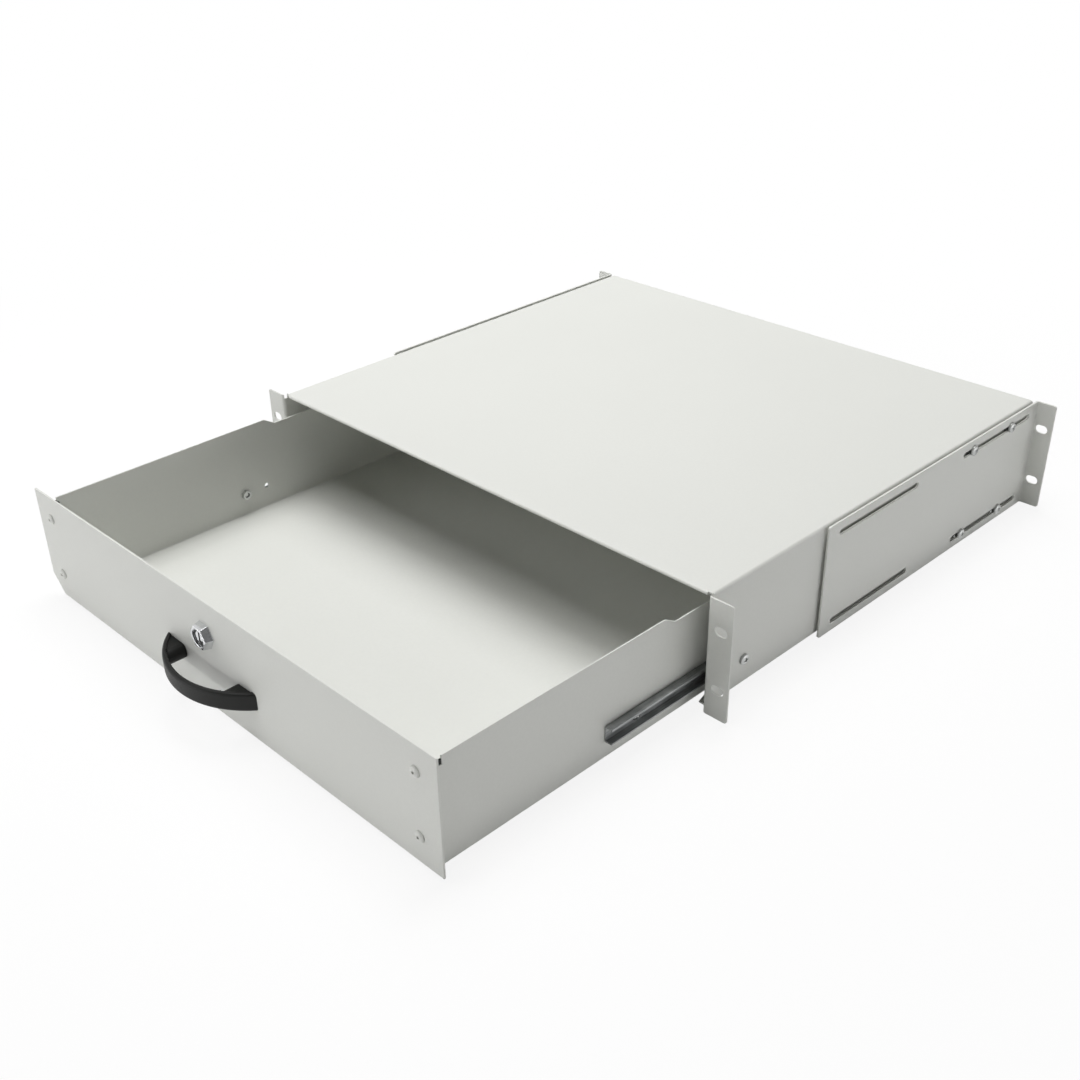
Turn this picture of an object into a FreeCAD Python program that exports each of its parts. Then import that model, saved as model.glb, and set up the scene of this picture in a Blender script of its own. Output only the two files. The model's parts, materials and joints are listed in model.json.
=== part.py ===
"""Lockable 19-inch rack drawer, two rack units high, standing open on its ball slides.

Frame: X to the right, Y from the rack's front to its rear, Z up, millimetres.
The origin is the middle of the front hole pattern, on the rear face of the front ears.
The drawer is drawn pulled out by its whole travel.
"""
import FreeCAD, Part
import math
import os
import re

import Sketcher
from FreeCAD import Rotation, Vector

SIZES = {
    # Rack ears and their oblong holes
    "ear_span": 482.6,
    "ear_height": 88.1,
    "ear_width": 18.8,
    "ear_corner": 2.0,
    "hole_inset": 8.75,
    "hole_rise": 44.45,
    "hole_length": 10.0,
    "hole_width": 6.8,
    # Housing, bent from one sheet
    "sheet": 1.2,
    "bend": 2.4,
    "ear_bend": 3.0,
    "edge_round": 0.5,
    "hem": 2.7,
    "hem_run": 6.0,
    "housing_depth": 398.0,
    "belly_gap": 1.9,
    "flange": 9.0,
    "mitre_run": 9.0,
    "mitre_cut": 2.2,
    "relief": 3.2,
    "back_flange": 12.0,
    # Rear brackets and the slots that set the mounting depth
    "bracket_sheet": 1.5,
    "bracket_length": 280.5,
    "bracket_stand": 2.5,
    "spacer": 2.0,
    "slot_inset": 12.8,
    "slot_length": 97.0,
    "slot_width": 4.5,
    "slot_edge": 8.55,
    "bracket_screw_inset": 38.2,
    "bracket_screw_pitch": 55.0,
    # Drawer tray and front panel
    "travel": 220.5,
    "panel_sheet": 1.5,
    "panel_gap": 1.3,
    "panel_lift": 2.9,
    "panel_top_gap": 0.7,
    "front_offset": 3.0,
    "corner_cut_wide": 13.0,
    "corner_cut_tall": 14.0,
    "tray_sheet": 1.0,
    "tray_bend": 2.0,
    "tray_lift": 2.6,
    "tray_flange": 20.0,
    "rear_clear": 18.0,
    "wall_drop": 8.9,
    "step_start": 192.5,
    "step_run": 10.0,
    "step_drop": 5.8,
    "notch_run": 9.0,
    "notch_drop": 6.0,
    "rivet_lift": 22.8,
    "rivet_drop": 10.4,
    # Ball slides: offsets are measured outwards from the tray wall
    "slide_gap": 9.8,
    "rail_lift": 22.0,
    "rail_sheet": 1.0,
    "rail_lip": 0.7,
    "drawer_rail_height": 12.0,
    "drawer_rail_depth": 6.2,
    "drawer_rail_setback": 138.8,
    "drawer_rail_end": 2.7,
    "drawer_screw_inset": 27.7,
    "spare_hole_step": 21.2,
    "cabinet_rail_front": 12.8,
    "cabinet_rail_end": 105.2,
    "cabinet_rail_stand": 1.0,
    "cabinet_screw_inset": 25.9,
    "cabinet_rivet_inset": 14.0,
    "lip_play": 0.8,
    "stop_setback": 14.0,
    "stop_sheet": 1.5,
    "stop_play": 0.3,
    "stop_height": 5.0,
    "ball": 2.8,
    "ball_play": 0.2,
    "ball_seat": 4.6,
    "ball_end": 14.0,
    "cage_sheet": 0.6,
    "cage_play": 0.7,
    "cage_edge": 2.6,
    # Bow handle
    "handle_radius": 65.3,
    "handle_bow": 24.5,
    "handle_band": 3.5,
    "handle_height": 13.4,
    "handle_lift": 34.0,
    "handle_foot": 28.6,
    "handle_foot_height": 11.0,
    "handle_foot_round": 5.0,
    "handle_round": 2.5,
    "handle_inner_round": 0.8,
    "handle_screw_span": 69.4,
    "handle_screw_depth": 9.0,
    # Cam lock
    "lock_lift": 61.4,
    "bezel": 20.0,
    "bezel_depth": 5.8,
    "bezel_taper": 12.0,
    "barrel": 16.0,
    "barrel_length": 10.0,
    "plug": 12.0,
    "plug_play": 0.1,
    "plug_inset": 1.2,
    "key_wide": 2.0,
    "key_tall": 8.0,
    "key_deep": 5.0,
    "tang": 7.0,
    "tang_play": 0.1,
    "cam_gap": 0.3,
    "cam_sheet": 2.0,
    "cam_width": 12.0,
    "cam_length": 23.4,
    "cam_round": 4.0,
    "lock_nut_wide": 24.0,
    "lock_nut_height": 4.0,
    "strike_sheet": 1.5,
    "strike_width": 60.0,
    "strike_drop": 6.0,
    "strike_foot": 18.0,
    "strike_play": 0.8,
    # Fasteners
    "screw": 4.0,
    "screw_play": 0.3,
    "pan_head": 8.0,
    "pan_height": 2.6,
    "head_slope": 1.2,
    "low_head": 7.0,
    "low_height": 1.6,
    "rail_screw_length": 3.0,
    "screw_tail": 0.6,
    "nut_wide": 7.0,
    "nut_height": 3.2,
    "press_nut": 7.5,
    "press_nut_height": 2.0,
    "washer": 9.0,
    "rivet_head": 7.6,
    "rivet_height": 2.0,
    "rivet_tail": 6.0,
    "rivet_tail_height": 1.5,
    "flat_head": 8.0,
    "flat_height": 0.5,
    "flat_tail": 5.5,
    "flat_tail_height": 0.7,
}
BALLS_PER_ROW = 5
SIDES = ("", "-")

# Places that several pieces share, worked out from the sizes above
HALF = "(ear_span / 2 - ear_width)"
INNER = f"({HALF} - sheet)"
TRAY = f"({INNER} - slide_gap)"
FOOT = "(-ear_height / 2)"
TOP = "(ear_height / 2)"
BELLY = f"({FOOT} + belly_gap)"
HOLE_X = "(ear_span / 2 - hole_inset)"
EDGE_Y = "(ear_bend - sheet)"
HOOD_Y = f"({EDGE_Y} + hem / 2)"
PANEL = "(-sheet - travel)"
PANEL_BACK = f"({PANEL} + panel_sheet)"
PANEL_HALF = f"({INNER} - panel_gap)"
PANEL_LOW = f"({FOOT} + panel_lift)"
PANEL_HIGH = f"({TOP} - panel_top_gap)"
TRAY_END = f"({PANEL} + housing_depth - rear_clear)"
TRAY_LOW = f"({FOOT} + tray_lift)"
WALL_HIGH = f"({TOP} - wall_drop)"
RIVET_X = f"({TRAY} - tray_flange / 2)"
RIVET_ROWS = (f"{FOOT} + rivet_lift", f"{WALL_HIGH} - rivet_drop")
RAIL_Z = f"({FOOT} + rail_lift)"
DRAWER_RAIL = f"({PANEL} + drawer_rail_setback)"
DRAWER_RAIL_END = f"({TRAY_END} - drawer_rail_end)"
DRAWER_SCREW = f"({DRAWER_RAIL} + drawer_screw_inset)"
DRAWER_SCREW_END = f"({DRAWER_RAIL_END} - drawer_screw_inset)"
SPARE_HOLE = f"({DRAWER_SCREW} + spare_hole_step)"
CABINET_RAIL_END = "(housing_depth - cabinet_rail_end)"
CABINET_SCREW = "(cabinet_rail_front + cabinet_screw_inset)"
CABINET_RIVET = f"({CABINET_RAIL_END} - cabinet_rivet_inset)"
STOP_Y = "(cabinet_rail_front + stop_setback)"
CAGE_FRONT = f"({STOP_Y} + stop_sheet + stop_play)"
CAGE_END = f"({DRAWER_RAIL_END} - stop_sheet - stop_play)"
BALL_RISE = "(drawer_rail_height / 2 + ball_play + ball / 2)"
CABINET_HALF = f"({BALL_RISE} + ball / 2 + ball_play + rail_sheet)"
BRACKET_IN = f"({HALF} + spacer)"
BRACKET_OUT = f"({BRACKET_IN} + bracket_sheet)"
BRACKET_END = "(housing_depth + bracket_stand)"
BRACKET_FRONT = f"({BRACKET_END} - bracket_length)"
BRACKET_SCREW = "(housing_depth - bracket_screw_inset)"
SLOT_Z = f"({TOP} - slot_edge)"
HANDLE_Z = f"({FOOT} + handle_lift)"
LOCK_X = "(-front_offset)"
LOCK_Z = f"({FOOT} + lock_lift)"
BARREL_END = f"({PANEL_BACK} + barrel_length)"
CAM_FRONT = f"({BARREL_END} + cam_gap)"
STRIKE_BACK = f"({CAM_FRONT} + travel - strike_play)"
HOLE = "(screw + screw_play)"

ALIAS = re.compile(r"\b(" + "|".join(SIZES) + r")\b")
AXES = {"X": Vector(1, 0, 0), "Y": Vector(0, 1, 0), "Z": Vector(0, 0, 1)}
PLANE_NORMALS = {"XY_Plane": 1, "XZ_Plane": -1, "YZ_Plane": 1}

doc = FreeCAD.newDocument("RackDrawer")
sizes = doc.addObject("Spreadsheet::Sheet", "Sizes")
for row, (alias, amount) in enumerate(SIZES.items(), 1):
    sizes.set(f"A{row}", str(amount))
    sizes.setAlias(f"A{row}", alias)
doc.recompute()
nodes = []


def bound(formula):
    """Return a formula with each size written as its cell of the sheet."""
    return ALIAS.sub(r"Sizes.\1", formula)


def number(formula):
    """Return the present value of a formula in millimetres."""
    return float(sizes.evalExpression(bound(formula)))


def bind(thing, name, formula):
    """Tie one property of an object to a formula of the sheet."""
    thing.setExpression(name, bound(formula))


def node(thing, label):
    """Name a finished sub-part and note it for export."""
    thing.Label = label
    nodes.append(thing)
    return thing


def new_body(label):
    """Start a body for a sub-part."""
    body = doc.addObject("PartDesign::Body", label)
    body.Label = label
    return body


def new_sketch(body, plane, at="0"):
    """Lay a sketch on one of the body's own planes, moved along the world axis to at."""
    sketch = body.newObject("Sketcher::SketchObject", "outline")
    base = next(item for item in body.Origin.OriginFeatures if item.Role == plane)
    sketch.AttachmentSupport = [(base, "")]
    sketch.MapMode = "FlatFace"
    sign = "" if PLANE_NORMALS[plane] > 0 else "-"
    bind(sketch, "AttachmentOffset.Base.z", f"{sign}({at})")
    return sketch


def hold(sketch, kind, value, *where):
    """Add a dimension to a sketch and tie it to a formula."""
    index = sketch.addConstraint(Sketcher.Constraint(kind, *where, number(value)))
    bind(sketch, f"Constraints[{index}]", value)


def pin(sketch, geometry, point, x, y):
    """Hold one point of a sketch at two formulas."""
    hold(sketch, "DistanceX", x, -1, 1, geometry, point)
    hold(sketch, "DistanceY", y, -1, 1, geometry, point)


def polygon(sketch, corners):
    """Draw a closed outline of straight runs through corners given as formulas."""
    first = sketch.GeometryCount
    spots = [Vector(number(x), number(y), 0) for x, y in corners]
    count = len(spots)
    for index in range(count):
        sketch.addGeometry(Part.LineSegment(spots[index], spots[(index + 1) % count]), False)
    for index in range(count):
        after = first + (index + 1) % count
        sketch.addConstraint(Sketcher.Constraint("Coincident", first + index, 2, after, 1))
    for index, (x, y) in enumerate(corners):
        pin(sketch, first + index, 1, x, y)


def rectangle(sketch, left, low, right, high):
    """Draw a rectangle between two corners."""
    polygon(sketch, [(left, low), (right, low), (right, high), (left, high)])


def circle(sketch, x, y, diameter):
    """Draw a circle whose centre and diameter follow formulas."""
    centre = Vector(number(x), number(y), 0)
    index = sketch.addGeometry(Part.Circle(centre, AXES["Z"], number(diameter) / 2), False)
    pin(sketch, index, 3, x, y)
    hold(sketch, "Radius", f"({diameter}) / 2", index)


def slot(sketch, x, y, length, width):
    """Draw a slot with round ends, lying along the sketch's first axis."""
    reach = f"(({length}) - ({width})) / 2"
    radius = number(width) / 2
    low, high = Vector(0, -radius, 0), Vector(0, radius, 0)
    middle = Vector(number(x), number(y), 0)
    left, right = middle - Vector(number(reach), 0, 0), middle + Vector(number(reach), 0, 0)
    quarter = math.pi / 2
    ends = (
        Part.ArcOfCircle(Part.Circle(left, AXES["Z"], radius), quarter, 3 * quarter),
        Part.LineSegment(left + low, right + low),
        Part.ArcOfCircle(Part.Circle(right, AXES["Z"], radius), -quarter, quarter),
        Part.LineSegment(right + high, left + high),
    )
    first = sketch.GeometryCount
    for shape in ends:
        sketch.addGeometry(shape, False)
    for index in range(4):
        after = first + (index + 1) % 4
        sketch.addConstraint(Sketcher.Constraint("Tangent", first + index, 2, after, 1))
    pin(sketch, first, 3, f"{x} - {reach}", y)
    pin(sketch, first + 2, 3, f"{x} + {reach}", y)
    hold(sketch, "Radius", f"({width}) / 2", first)
    sketch.addConstraint(Sketcher.Constraint("Equal", first, first + 2))


def pad(body, sketch, length, toward=1, taper=None):
    """Raise an outline along its world axis: toward is 1, -1, or 0 for both ways."""
    feature = body.newObject("PartDesign::Pad", "pad")
    feature.Profile = sketch
    bind(feature, "Length", length)
    feature.Midplane = toward == 0
    feature.Reversed = toward * PLANE_NORMALS[plane_of(sketch)] < 0
    if taper:
        bind(feature, "TaperAngle", taper)
    sketch.Visibility = False
    doc.recompute()
    return feature


def plane_of(sketch):
    """Return which of its body's planes a sketch lies on."""
    return sketch.AttachmentSupport[0][0].Role


def pocket(body, sketch, length=None, toward=0):
    """Cut an outline along its world axis, right through where no length is given."""
    before = body.Shape.Volume
    feature = body.newObject("PartDesign::Pocket", "pocket")
    feature.Profile = sketch
    feature.Midplane = toward == 0
    feature.Reversed = toward * PLANE_NORMALS[plane_of(sketch)] > 0
    if length:
        bind(feature, "Length", length)
    else:
        feature.Type = "ThroughAll"
    doc.recompute()
    if not feature.Shape.Volume < before - 1e-6:
        raise ValueError(f"{body.Label}: a pocket cut nothing")
    return feature


def straight_edges(shape, axis, spots):
    """Name the straight edges along an axis that pass through any of the given spots."""
    keep = [index for index, name in enumerate("XYZ") if name != axis]
    targets = [[number(formula) for formula in spot] for spot in spots]
    names = []
    for index, edge in enumerate(shape.Edges, 1):
        if not isinstance(edge.Curve, Part.Line):
            continue
        if abs(edge.tangentAt(edge.FirstParameter).dot(AXES[axis])) < 0.999:
            continue
        place = [edge.Vertexes[0].Point[position] for position in keep]
        if any(math.dist(place, target) < 0.01 for target in targets):
            names.append(f"Edge{index}")
    return names


def fillet(body, radius, names):
    """Round named edges of the body's present shape."""
    feature = body.newObject("PartDesign::Fillet", "fillet")
    feature.Base = (body_feature(body, feature), names)
    bind(feature, "Radius", radius)
    doc.recompute()
    return feature


def body_feature(body, newest):
    """Return the solid feature just before the newest one."""
    solids = [item for item in body.Group if item.isDerivedFrom("PartDesign::Feature")]
    return solids[solids.index(newest) - 1]


def mirror(source, label):
    """Make the left-hand twin of a right-hand piece."""
    twin = doc.addObject("Part::Mirroring", label)
    twin.Source = source
    twin.Base = Vector(0, 0, 0)
    twin.Normal = AXES["X"]
    doc.recompute()
    return node(twin, label)


def turned(label, corners):
    """Turn an outline of (radius, length) corners about the Y axis."""
    body = new_body(label)
    sketch = new_sketch(body, "XY_Plane")
    polygon(sketch, corners)
    feature = body.newObject("PartDesign::Revolution", "turning")
    feature.Profile = sketch
    feature.ReferenceAxis = (sketch, ["V_Axis"])
    feature.Angle = 360
    doc.recompute()
    return body


def ring(label, outside, bore, height):
    """Turn a plain ring that starts at the origin and runs along Y."""
    inside = f"({bore}) / 2"
    rim = f"({outside}) / 2"
    return turned(label, [(inside, "0"), (rim, "0"), (rim, height), (inside, height)])


def crown(head, height):
    """Return the outline of a head that narrows towards its flat crown."""
    return [
        ("0", f"-{height}"), (f"{head} / 2 - head_slope", f"-{height}"),
        (f"{head} / 2", f"-{height} / 2"), (f"{head} / 2", "0"),
    ]


def screw(label, head, height, length):
    """Turn a screw with its head below the origin and its shank along Y."""
    return turned(label, crown(head, height) + [("screw / 2", "0"), ("screw / 2", length), ("0", length)])


def rivet(label, head, height, grip, tail, tail_height):
    """Turn a set rivet with its head below the origin and its tail beyond the grip."""
    end = f"{grip} + {tail_height}"
    return turned(label, crown(head, height) + [
        ("screw / 2", "0"), ("screw / 2", grip), (f"{tail} / 2", grip), (f"{tail} / 2", end), ("0", end),
    ])


def group(label, master, spots):
    """Set copies of a fastener at (x, y, z, turn about Z) as one node."""
    copies = []
    for x, y, z, turn in spots:
        copy = doc.addObject("App::Link", f"{label}_copy")
        copy.LinkedObject = master
        copy.Placement.Rotation = Rotation(AXES["Z"], turn)
        for axis, formula in zip("xyz", (x, y, z)):
            bind(copy, f"Placement.Base.{axis}", formula)
        copies.append(copy)
    compound = doc.addObject("Part::Compound", label)
    compound.Links = copies
    doc.recompute()
    return node(compound, label)


def both_sides(x, y, z):
    """Return a spot on each side of the middle, turned to point inwards."""
    return [(x, y, z, 90), (f"-({x})", y, z, -90)]


def from_tray(offset):
    """Return the X of a point at an offset outwards from the right tray wall."""
    return f"{TRAY} + {offset}"


def hexagon(sketch, x, y, wide, first=30):
    """Draw a hexagon with the given width across its corners, the first corner at an angle to X."""
    polygon(sketch, [
        (f"{x} + {wide} / 2 * cos({first + turn})", f"{y} + {wide} / 2 * sin({first + turn})")
        for turn in range(0, 360, 60)
    ])


def housing_hood():
    """Bend the top, sides and bottom flanges, and fold a hem under the top's front edge."""
    body = new_body("housing_hood")
    hood = new_sketch(body, "XZ_Plane", HOOD_Y)
    ceiling, floor = f"{TOP} - sheet", f"{BELLY} + sheet"
    polygon(hood, [
        (f"{HALF} - flange", BELLY), (HALF, BELLY), (HALF, TOP),
        (f"-{HALF}", TOP), (f"-{HALF}", BELLY), (f"flange - {HALF}", BELLY),
        (f"flange - {HALF}", floor), (f"-{INNER}", floor), (f"-{INNER}", ceiling),
        (INNER, ceiling), (INNER, floor), (f"{HALF} - flange", floor),
    ])
    shape = pad(body, hood, f"housing_depth - {HOOD_Y}").Shape
    outside = [(f"{side}{HALF}", z) for side in SIDES for z in (TOP, BELLY)]
    shape = fillet(body, "bend", straight_edges(shape, "Y", outside)).Shape
    inside = [(f"{side}{INNER}", z) for side in SIDES for z in (ceiling, floor)]
    fillet(body, "bend - sheet", straight_edges(shape, "Y", inside))

    fold = new_sketch(body, "YZ_Plane")
    slot(fold, f"{EDGE_Y} + hem_run / 2", f"{TOP} - hem / 2", "hem_run", "hem")
    pad(body, fold, f"2 * ({INNER} - relief)", 0)

    mitre = new_sketch(body, "XY_Plane", BELLY)
    for side in SIDES:
        polygon(mitre, [
            (f"{side}({HALF} - flange)", f"{EDGE_Y} - sheet"),
            (f"{side}({HALF} - flange + mitre_cut)", f"{EDGE_Y} - sheet"),
            (f"{side}({HALF} - flange + mitre_cut)", EDGE_Y),
            (f"{side}({HALF} - flange)", f"{EDGE_Y} + mitre_run"),
        ])
    pocket(body, mitre, "sheet", 1)

    drilled = new_sketch(body, "YZ_Plane")
    circle(drilled, CABINET_SCREW, RAIL_Z, HOLE)
    circle(drilled, CABINET_RIVET, RAIL_Z, HOLE)
    for step in ("0", "bracket_screw_pitch"):
        for up in SIDES:
            circle(drilled, f"{BRACKET_SCREW} - {step}", f"{up}{SLOT_Z}", HOLE)
    pocket(body, drilled)
    corner_relief(body)
    return body


def front_ears():
    """Bend the two front ears with their oblong rack holes."""
    body = new_body("front_ears")
    plan = new_sketch(body, "XY_Plane", FOOT)
    root = f"{HOOD_Y} + sheet"
    for side in SIDES:
        polygon(plan, [
            (f"{side}{INNER}", "-sheet"), (f"{side}ear_span / 2", "-sheet"),
            (f"{side}ear_span / 2", "0"), (f"{side}{HALF}", "0"),
            (f"{side}{HALF}", root), (f"{side}{INNER}", root),
        ])
    shape = pad(body, plan, "ear_height").Shape
    outside = [(f"{side}{INNER}", "-sheet") for side in SIDES]
    shape = fillet(body, "ear_bend", straight_edges(shape, "Z", outside)).Shape
    inside = [(f"{side}{HALF}", "0") for side in SIDES]
    shape = fillet(body, "ear_bend - sheet", straight_edges(shape, "Z", inside)).Shape
    tips = [(f"{side}ear_span / 2", z) for side in SIDES for z in (TOP, FOOT)]
    fillet(body, "ear_corner", straight_edges(shape, "Y", tips))
    holes = new_sketch(body, "XZ_Plane")
    for side in SIDES:
        for up in SIDES:
            slot(holes, f"{side}{HOLE_X}", f"{up}hole_rise / 2", "hole_length", "hole_width")
    pocket(body, holes, "4 * sheet")
    corner_relief(body)
    return body


def corner_relief(body):
    """Cut the round relief where top, side and ear meet."""
    relief = new_sketch(body, "XY_Plane", TOP)
    for side in SIDES:
        circle(relief, f"{side}({INNER} + sheet / 2)", EDGE_Y, "relief")
    pocket(body, relief, "relief", -1)


def housing_shell():
    """Join the hood and its ears into the one bent sheet that they are."""
    shell = doc.addObject("Part::MultiFuse", "housing_shell")
    shell.Shapes = [housing_hood(), front_ears()]
    shell.Refine = True
    doc.recompute()
    node(shell, "housing_shell")


def rear_panel():
    """Close the housing's back with a plate and two flanges that lie on its sides."""
    body = new_body("rear_panel")
    plan = new_sketch(body, "XY_Plane", f"{BELLY} + bend")
    front = "housing_depth - back_flange"
    polygon(plan, [
        (f"-{INNER}", front), (f"-{INNER}", "housing_depth"), (INNER, "housing_depth"), (INNER, front),
        (f"{INNER} - sheet", front), (f"{INNER} - sheet", "housing_depth - sheet"),
        (f"sheet - {INNER}", "housing_depth - sheet"), (f"sheet - {INNER}", front),
    ])
    shape = pad(body, plan, "ear_height - belly_gap - 2 * bend").Shape
    bends = [(f"{side}({INNER} - sheet)", "housing_depth - sheet") for side in SIDES]
    fillet(body, "bend - sheet", straight_edges(shape, "Z", bends))
    node(body, "rear_panel")


def lock_strike():
    """Hang the angle that the lock's cam turns behind."""
    body = new_body("lock_strike")
    side = new_sketch(body, "YZ_Plane")
    ceiling = f"{TOP} - sheet"
    front = f"{STRIKE_BACK} - strike_sheet"
    polygon(side, [
        (front, f"{ceiling} - strike_drop"), (STRIKE_BACK, f"{ceiling} - strike_drop"),
        (STRIKE_BACK, f"{ceiling} - strike_sheet"), (f"{front} + strike_foot", f"{ceiling} - strike_sheet"),
        (f"{front} + strike_foot", ceiling), (front, ceiling),
    ])
    shape = pad(body, side, "strike_width", 0).Shape
    fillet(body, "strike_sheet", straight_edges(shape, "X", [(front, ceiling)]))
    node(body, "lock_strike")


def cabinet_rail():
    """Roll the outer channel of a slide, with its lips and front stop."""
    body = new_body("cabinet_rail_right")
    section = new_sketch(body, "XZ_Plane", "cabinet_rail_front")
    web, edge = from_tray("slide_gap"), from_tray("cabinet_rail_stand")
    web_in, lip_in = f"{web} - rail_sheet", f"{edge} + rail_sheet"
    lip = "(drawer_rail_height / 2 + lip_play)"
    half = [(web, CABINET_HALF), (edge, CABINET_HALF), (edge, lip), (lip_in, lip),
            (lip_in, f"({CABINET_HALF} - rail_sheet)"), (web_in, f"({CABINET_HALF} - rail_sheet)")]
    upper = [(x, f"{RAIL_Z} + {rise}") for x, rise in half]
    lower = [(x, f"{RAIL_Z} - {rise}") for x, rise in reversed(half)]
    polygon(section, upper + lower)
    shape = pad(body, section, f"{CABINET_RAIL_END} - cabinet_rail_front").Shape
    bends = [(x, f"{RAIL_Z} {up} {CABINET_HALF}") for x in (web, edge) for up in "+-"]
    fillet(body, "rail_sheet", straight_edges(shape, "Y", bends))
    stop = new_sketch(body, "XZ_Plane", STOP_Y)
    rectangle(stop, from_tray("drawer_rail_depth + cage_play"), f"{RAIL_Z} - stop_height / 2",
              web_in, f"{RAIL_Z} + stop_height / 2")
    pad(body, stop, "stop_sheet")
    drilled = new_sketch(body, "YZ_Plane")
    circle(drilled, CABINET_SCREW, RAIL_Z, HOLE)
    circle(drilled, CABINET_RIVET, RAIL_Z, HOLE)
    pocket(body, drilled)
    node(body, "cabinet_rail_right")
    mirror(body, "cabinet_rail_left")


def drawer_rail():
    """Roll the inner lipped channel of a slide, with its rear stop."""
    body = new_body("drawer_rail_right")
    section = new_sketch(body, "XZ_Plane", DRAWER_RAIL)
    edge = from_tray("drawer_rail_depth")
    tall = "(drawer_rail_height / 2)"
    flat = f"({tall} - rail_sheet)"
    lip = f"({flat} - rail_lip)"
    half = [(TRAY, tall), (edge, tall), (edge, lip), (f"{edge} - rail_sheet", lip),
            (f"{edge} - rail_sheet", flat), (from_tray("rail_sheet"), flat)]
    upper = [(x, f"{RAIL_Z} + {rise}") for x, rise in half]
    lower = [(x, f"{RAIL_Z} - {rise}") for x, rise in reversed(half)]
    polygon(section, upper + lower)
    shape = pad(body, section, f"{DRAWER_RAIL_END} - {DRAWER_RAIL}").Shape
    bends = [(x, f"{RAIL_Z} {up} {tall}") for x in (TRAY, edge) for up in "+-"]
    fillet(body, "rail_sheet", straight_edges(shape, "Y", bends))
    stop = new_sketch(body, "XZ_Plane", f"{DRAWER_RAIL_END} - stop_sheet")
    rectangle(stop, from_tray("drawer_rail_depth - rail_sheet"), f"{RAIL_Z} - {flat}",
              from_tray("drawer_rail_depth + cage_play + cage_sheet"), f"{RAIL_Z} + {flat}")
    pad(body, stop, "stop_sheet")
    drilled = new_sketch(body, "YZ_Plane")
    for place in (DRAWER_SCREW, SPARE_HOLE, DRAWER_SCREW_END):
        circle(drilled, place, RAIL_Z, HOLE)
    pocket(body, drilled, from_tray("rail_sheet * 2"), 1)
    node(body, "drawer_rail_right")
    mirror(body, "drawer_rail_left")


def ball_cage():
    """Fold the strip that keeps the balls apart, with a hole for each ball."""
    body = new_body("ball_cage_right")
    section = new_sketch(body, "XZ_Plane", CAGE_FRONT)
    web = from_tray("drawer_rail_depth + cage_play")
    outer, inner = f"({BALL_RISE} + cage_sheet / 2)", f"({BALL_RISE} - cage_sheet / 2)"
    edge = from_tray("cage_edge")
    half = [(f"{web} + cage_sheet", outer), (edge, outer), (edge, inner), (web, inner)]
    upper = [(x, f"{RAIL_Z} + {rise}") for x, rise in half]
    lower = [(x, f"{RAIL_Z} - {rise}") for x, rise in reversed(half)]
    polygon(section, upper + lower)
    pad(body, section, f"{CAGE_END} - {CAGE_FRONT}")
    seat = new_sketch(body, "XY_Plane", RAIL_Z)
    circle(seat, from_tray("ball_seat"), f"{CAGE_FRONT} + ball_end", "ball + ball_play")
    first = pocket(body, seat)
    row = body.newObject("PartDesign::LinearPattern", "ball_row")
    row.Originals = [first]
    row.Direction = (seat, ["V_Axis"])
    bind(row, "Length", f"{CAGE_END} - {CAGE_FRONT} - 2 * ball_end")
    row.Occurrences = BALLS_PER_ROW
    body.Tip = row
    doc.recompute()
    node(body, "ball_cage_right")
    mirror(body, "ball_cage_left")


def cage_balls():
    """Set the balls in the cage's two rows."""
    balls = []
    for index in range(BALLS_PER_ROW):
        for up in "+-":
            sphere = doc.addObject("Part::Sphere", "ball")
            bind(sphere, "Radius", "ball / 2")
            run = f"({CAGE_END} - {CAGE_FRONT} - 2 * ball_end) * {index} / {BALLS_PER_ROW - 1}"
            bind(sphere, "Placement.Base.x", from_tray("ball_seat"))
            bind(sphere, "Placement.Base.y", f"{CAGE_FRONT} + ball_end + {run}")
            bind(sphere, "Placement.Base.z", f"{RAIL_Z} {up} {BALL_RISE}")
            balls.append(sphere)
    compound = doc.addObject("Part::Compound", "cage_balls_right")
    compound.Links = balls
    doc.recompute()
    node(compound, "cage_balls_right")
    mirror(compound, "cage_balls_left")


def rear_bracket():
    """Bend the slotted plate with its rear rack ear."""
    body = new_body("rear_bracket_right")
    plan = new_sketch(body, "XY_Plane", FOOT)
    face = f"{BRACKET_END} - bracket_sheet"
    polygon(plan, [
        (BRACKET_IN, BRACKET_FRONT), (BRACKET_OUT, BRACKET_FRONT), (BRACKET_OUT, face),
        ("ear_span / 2", face), ("ear_span / 2", BRACKET_END), (BRACKET_IN, BRACKET_END),
    ])
    shape = pad(body, plan, "ear_height").Shape
    shape = fillet(body, "bend", straight_edges(shape, "Z", [(BRACKET_IN, BRACKET_END)])).Shape
    shape = fillet(body, "bend / 2", straight_edges(shape, "Z", [(BRACKET_OUT, face)])).Shape
    tips = straight_edges(shape, "Y", [("ear_span / 2", TOP), ("ear_span / 2", FOOT)])
    tips += straight_edges(shape, "X", [(BRACKET_FRONT, TOP), (BRACKET_FRONT, FOOT)])
    fillet(body, "ear_corner", tips)
    slots = new_sketch(body, "YZ_Plane")
    reach = "(slot_inset + slot_length / 2)"
    for middle in (f"{BRACKET_FRONT} + {reach}", f"{BRACKET_END} - {reach}"):
        for up in SIDES:
            slot(slots, middle, f"{up}{SLOT_Z}", "slot_length", "slot_width")
    pocket(body, slots)
    holes = new_sketch(body, "XZ_Plane", BRACKET_END)
    for up in SIDES:
        slot(holes, HOLE_X, f"{up}hole_rise / 2", "hole_length", "hole_width")
    pocket(body, holes, "4 * bracket_sheet")
    node(body, "rear_bracket_right")
    mirror(body, "rear_bracket_left")


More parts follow.
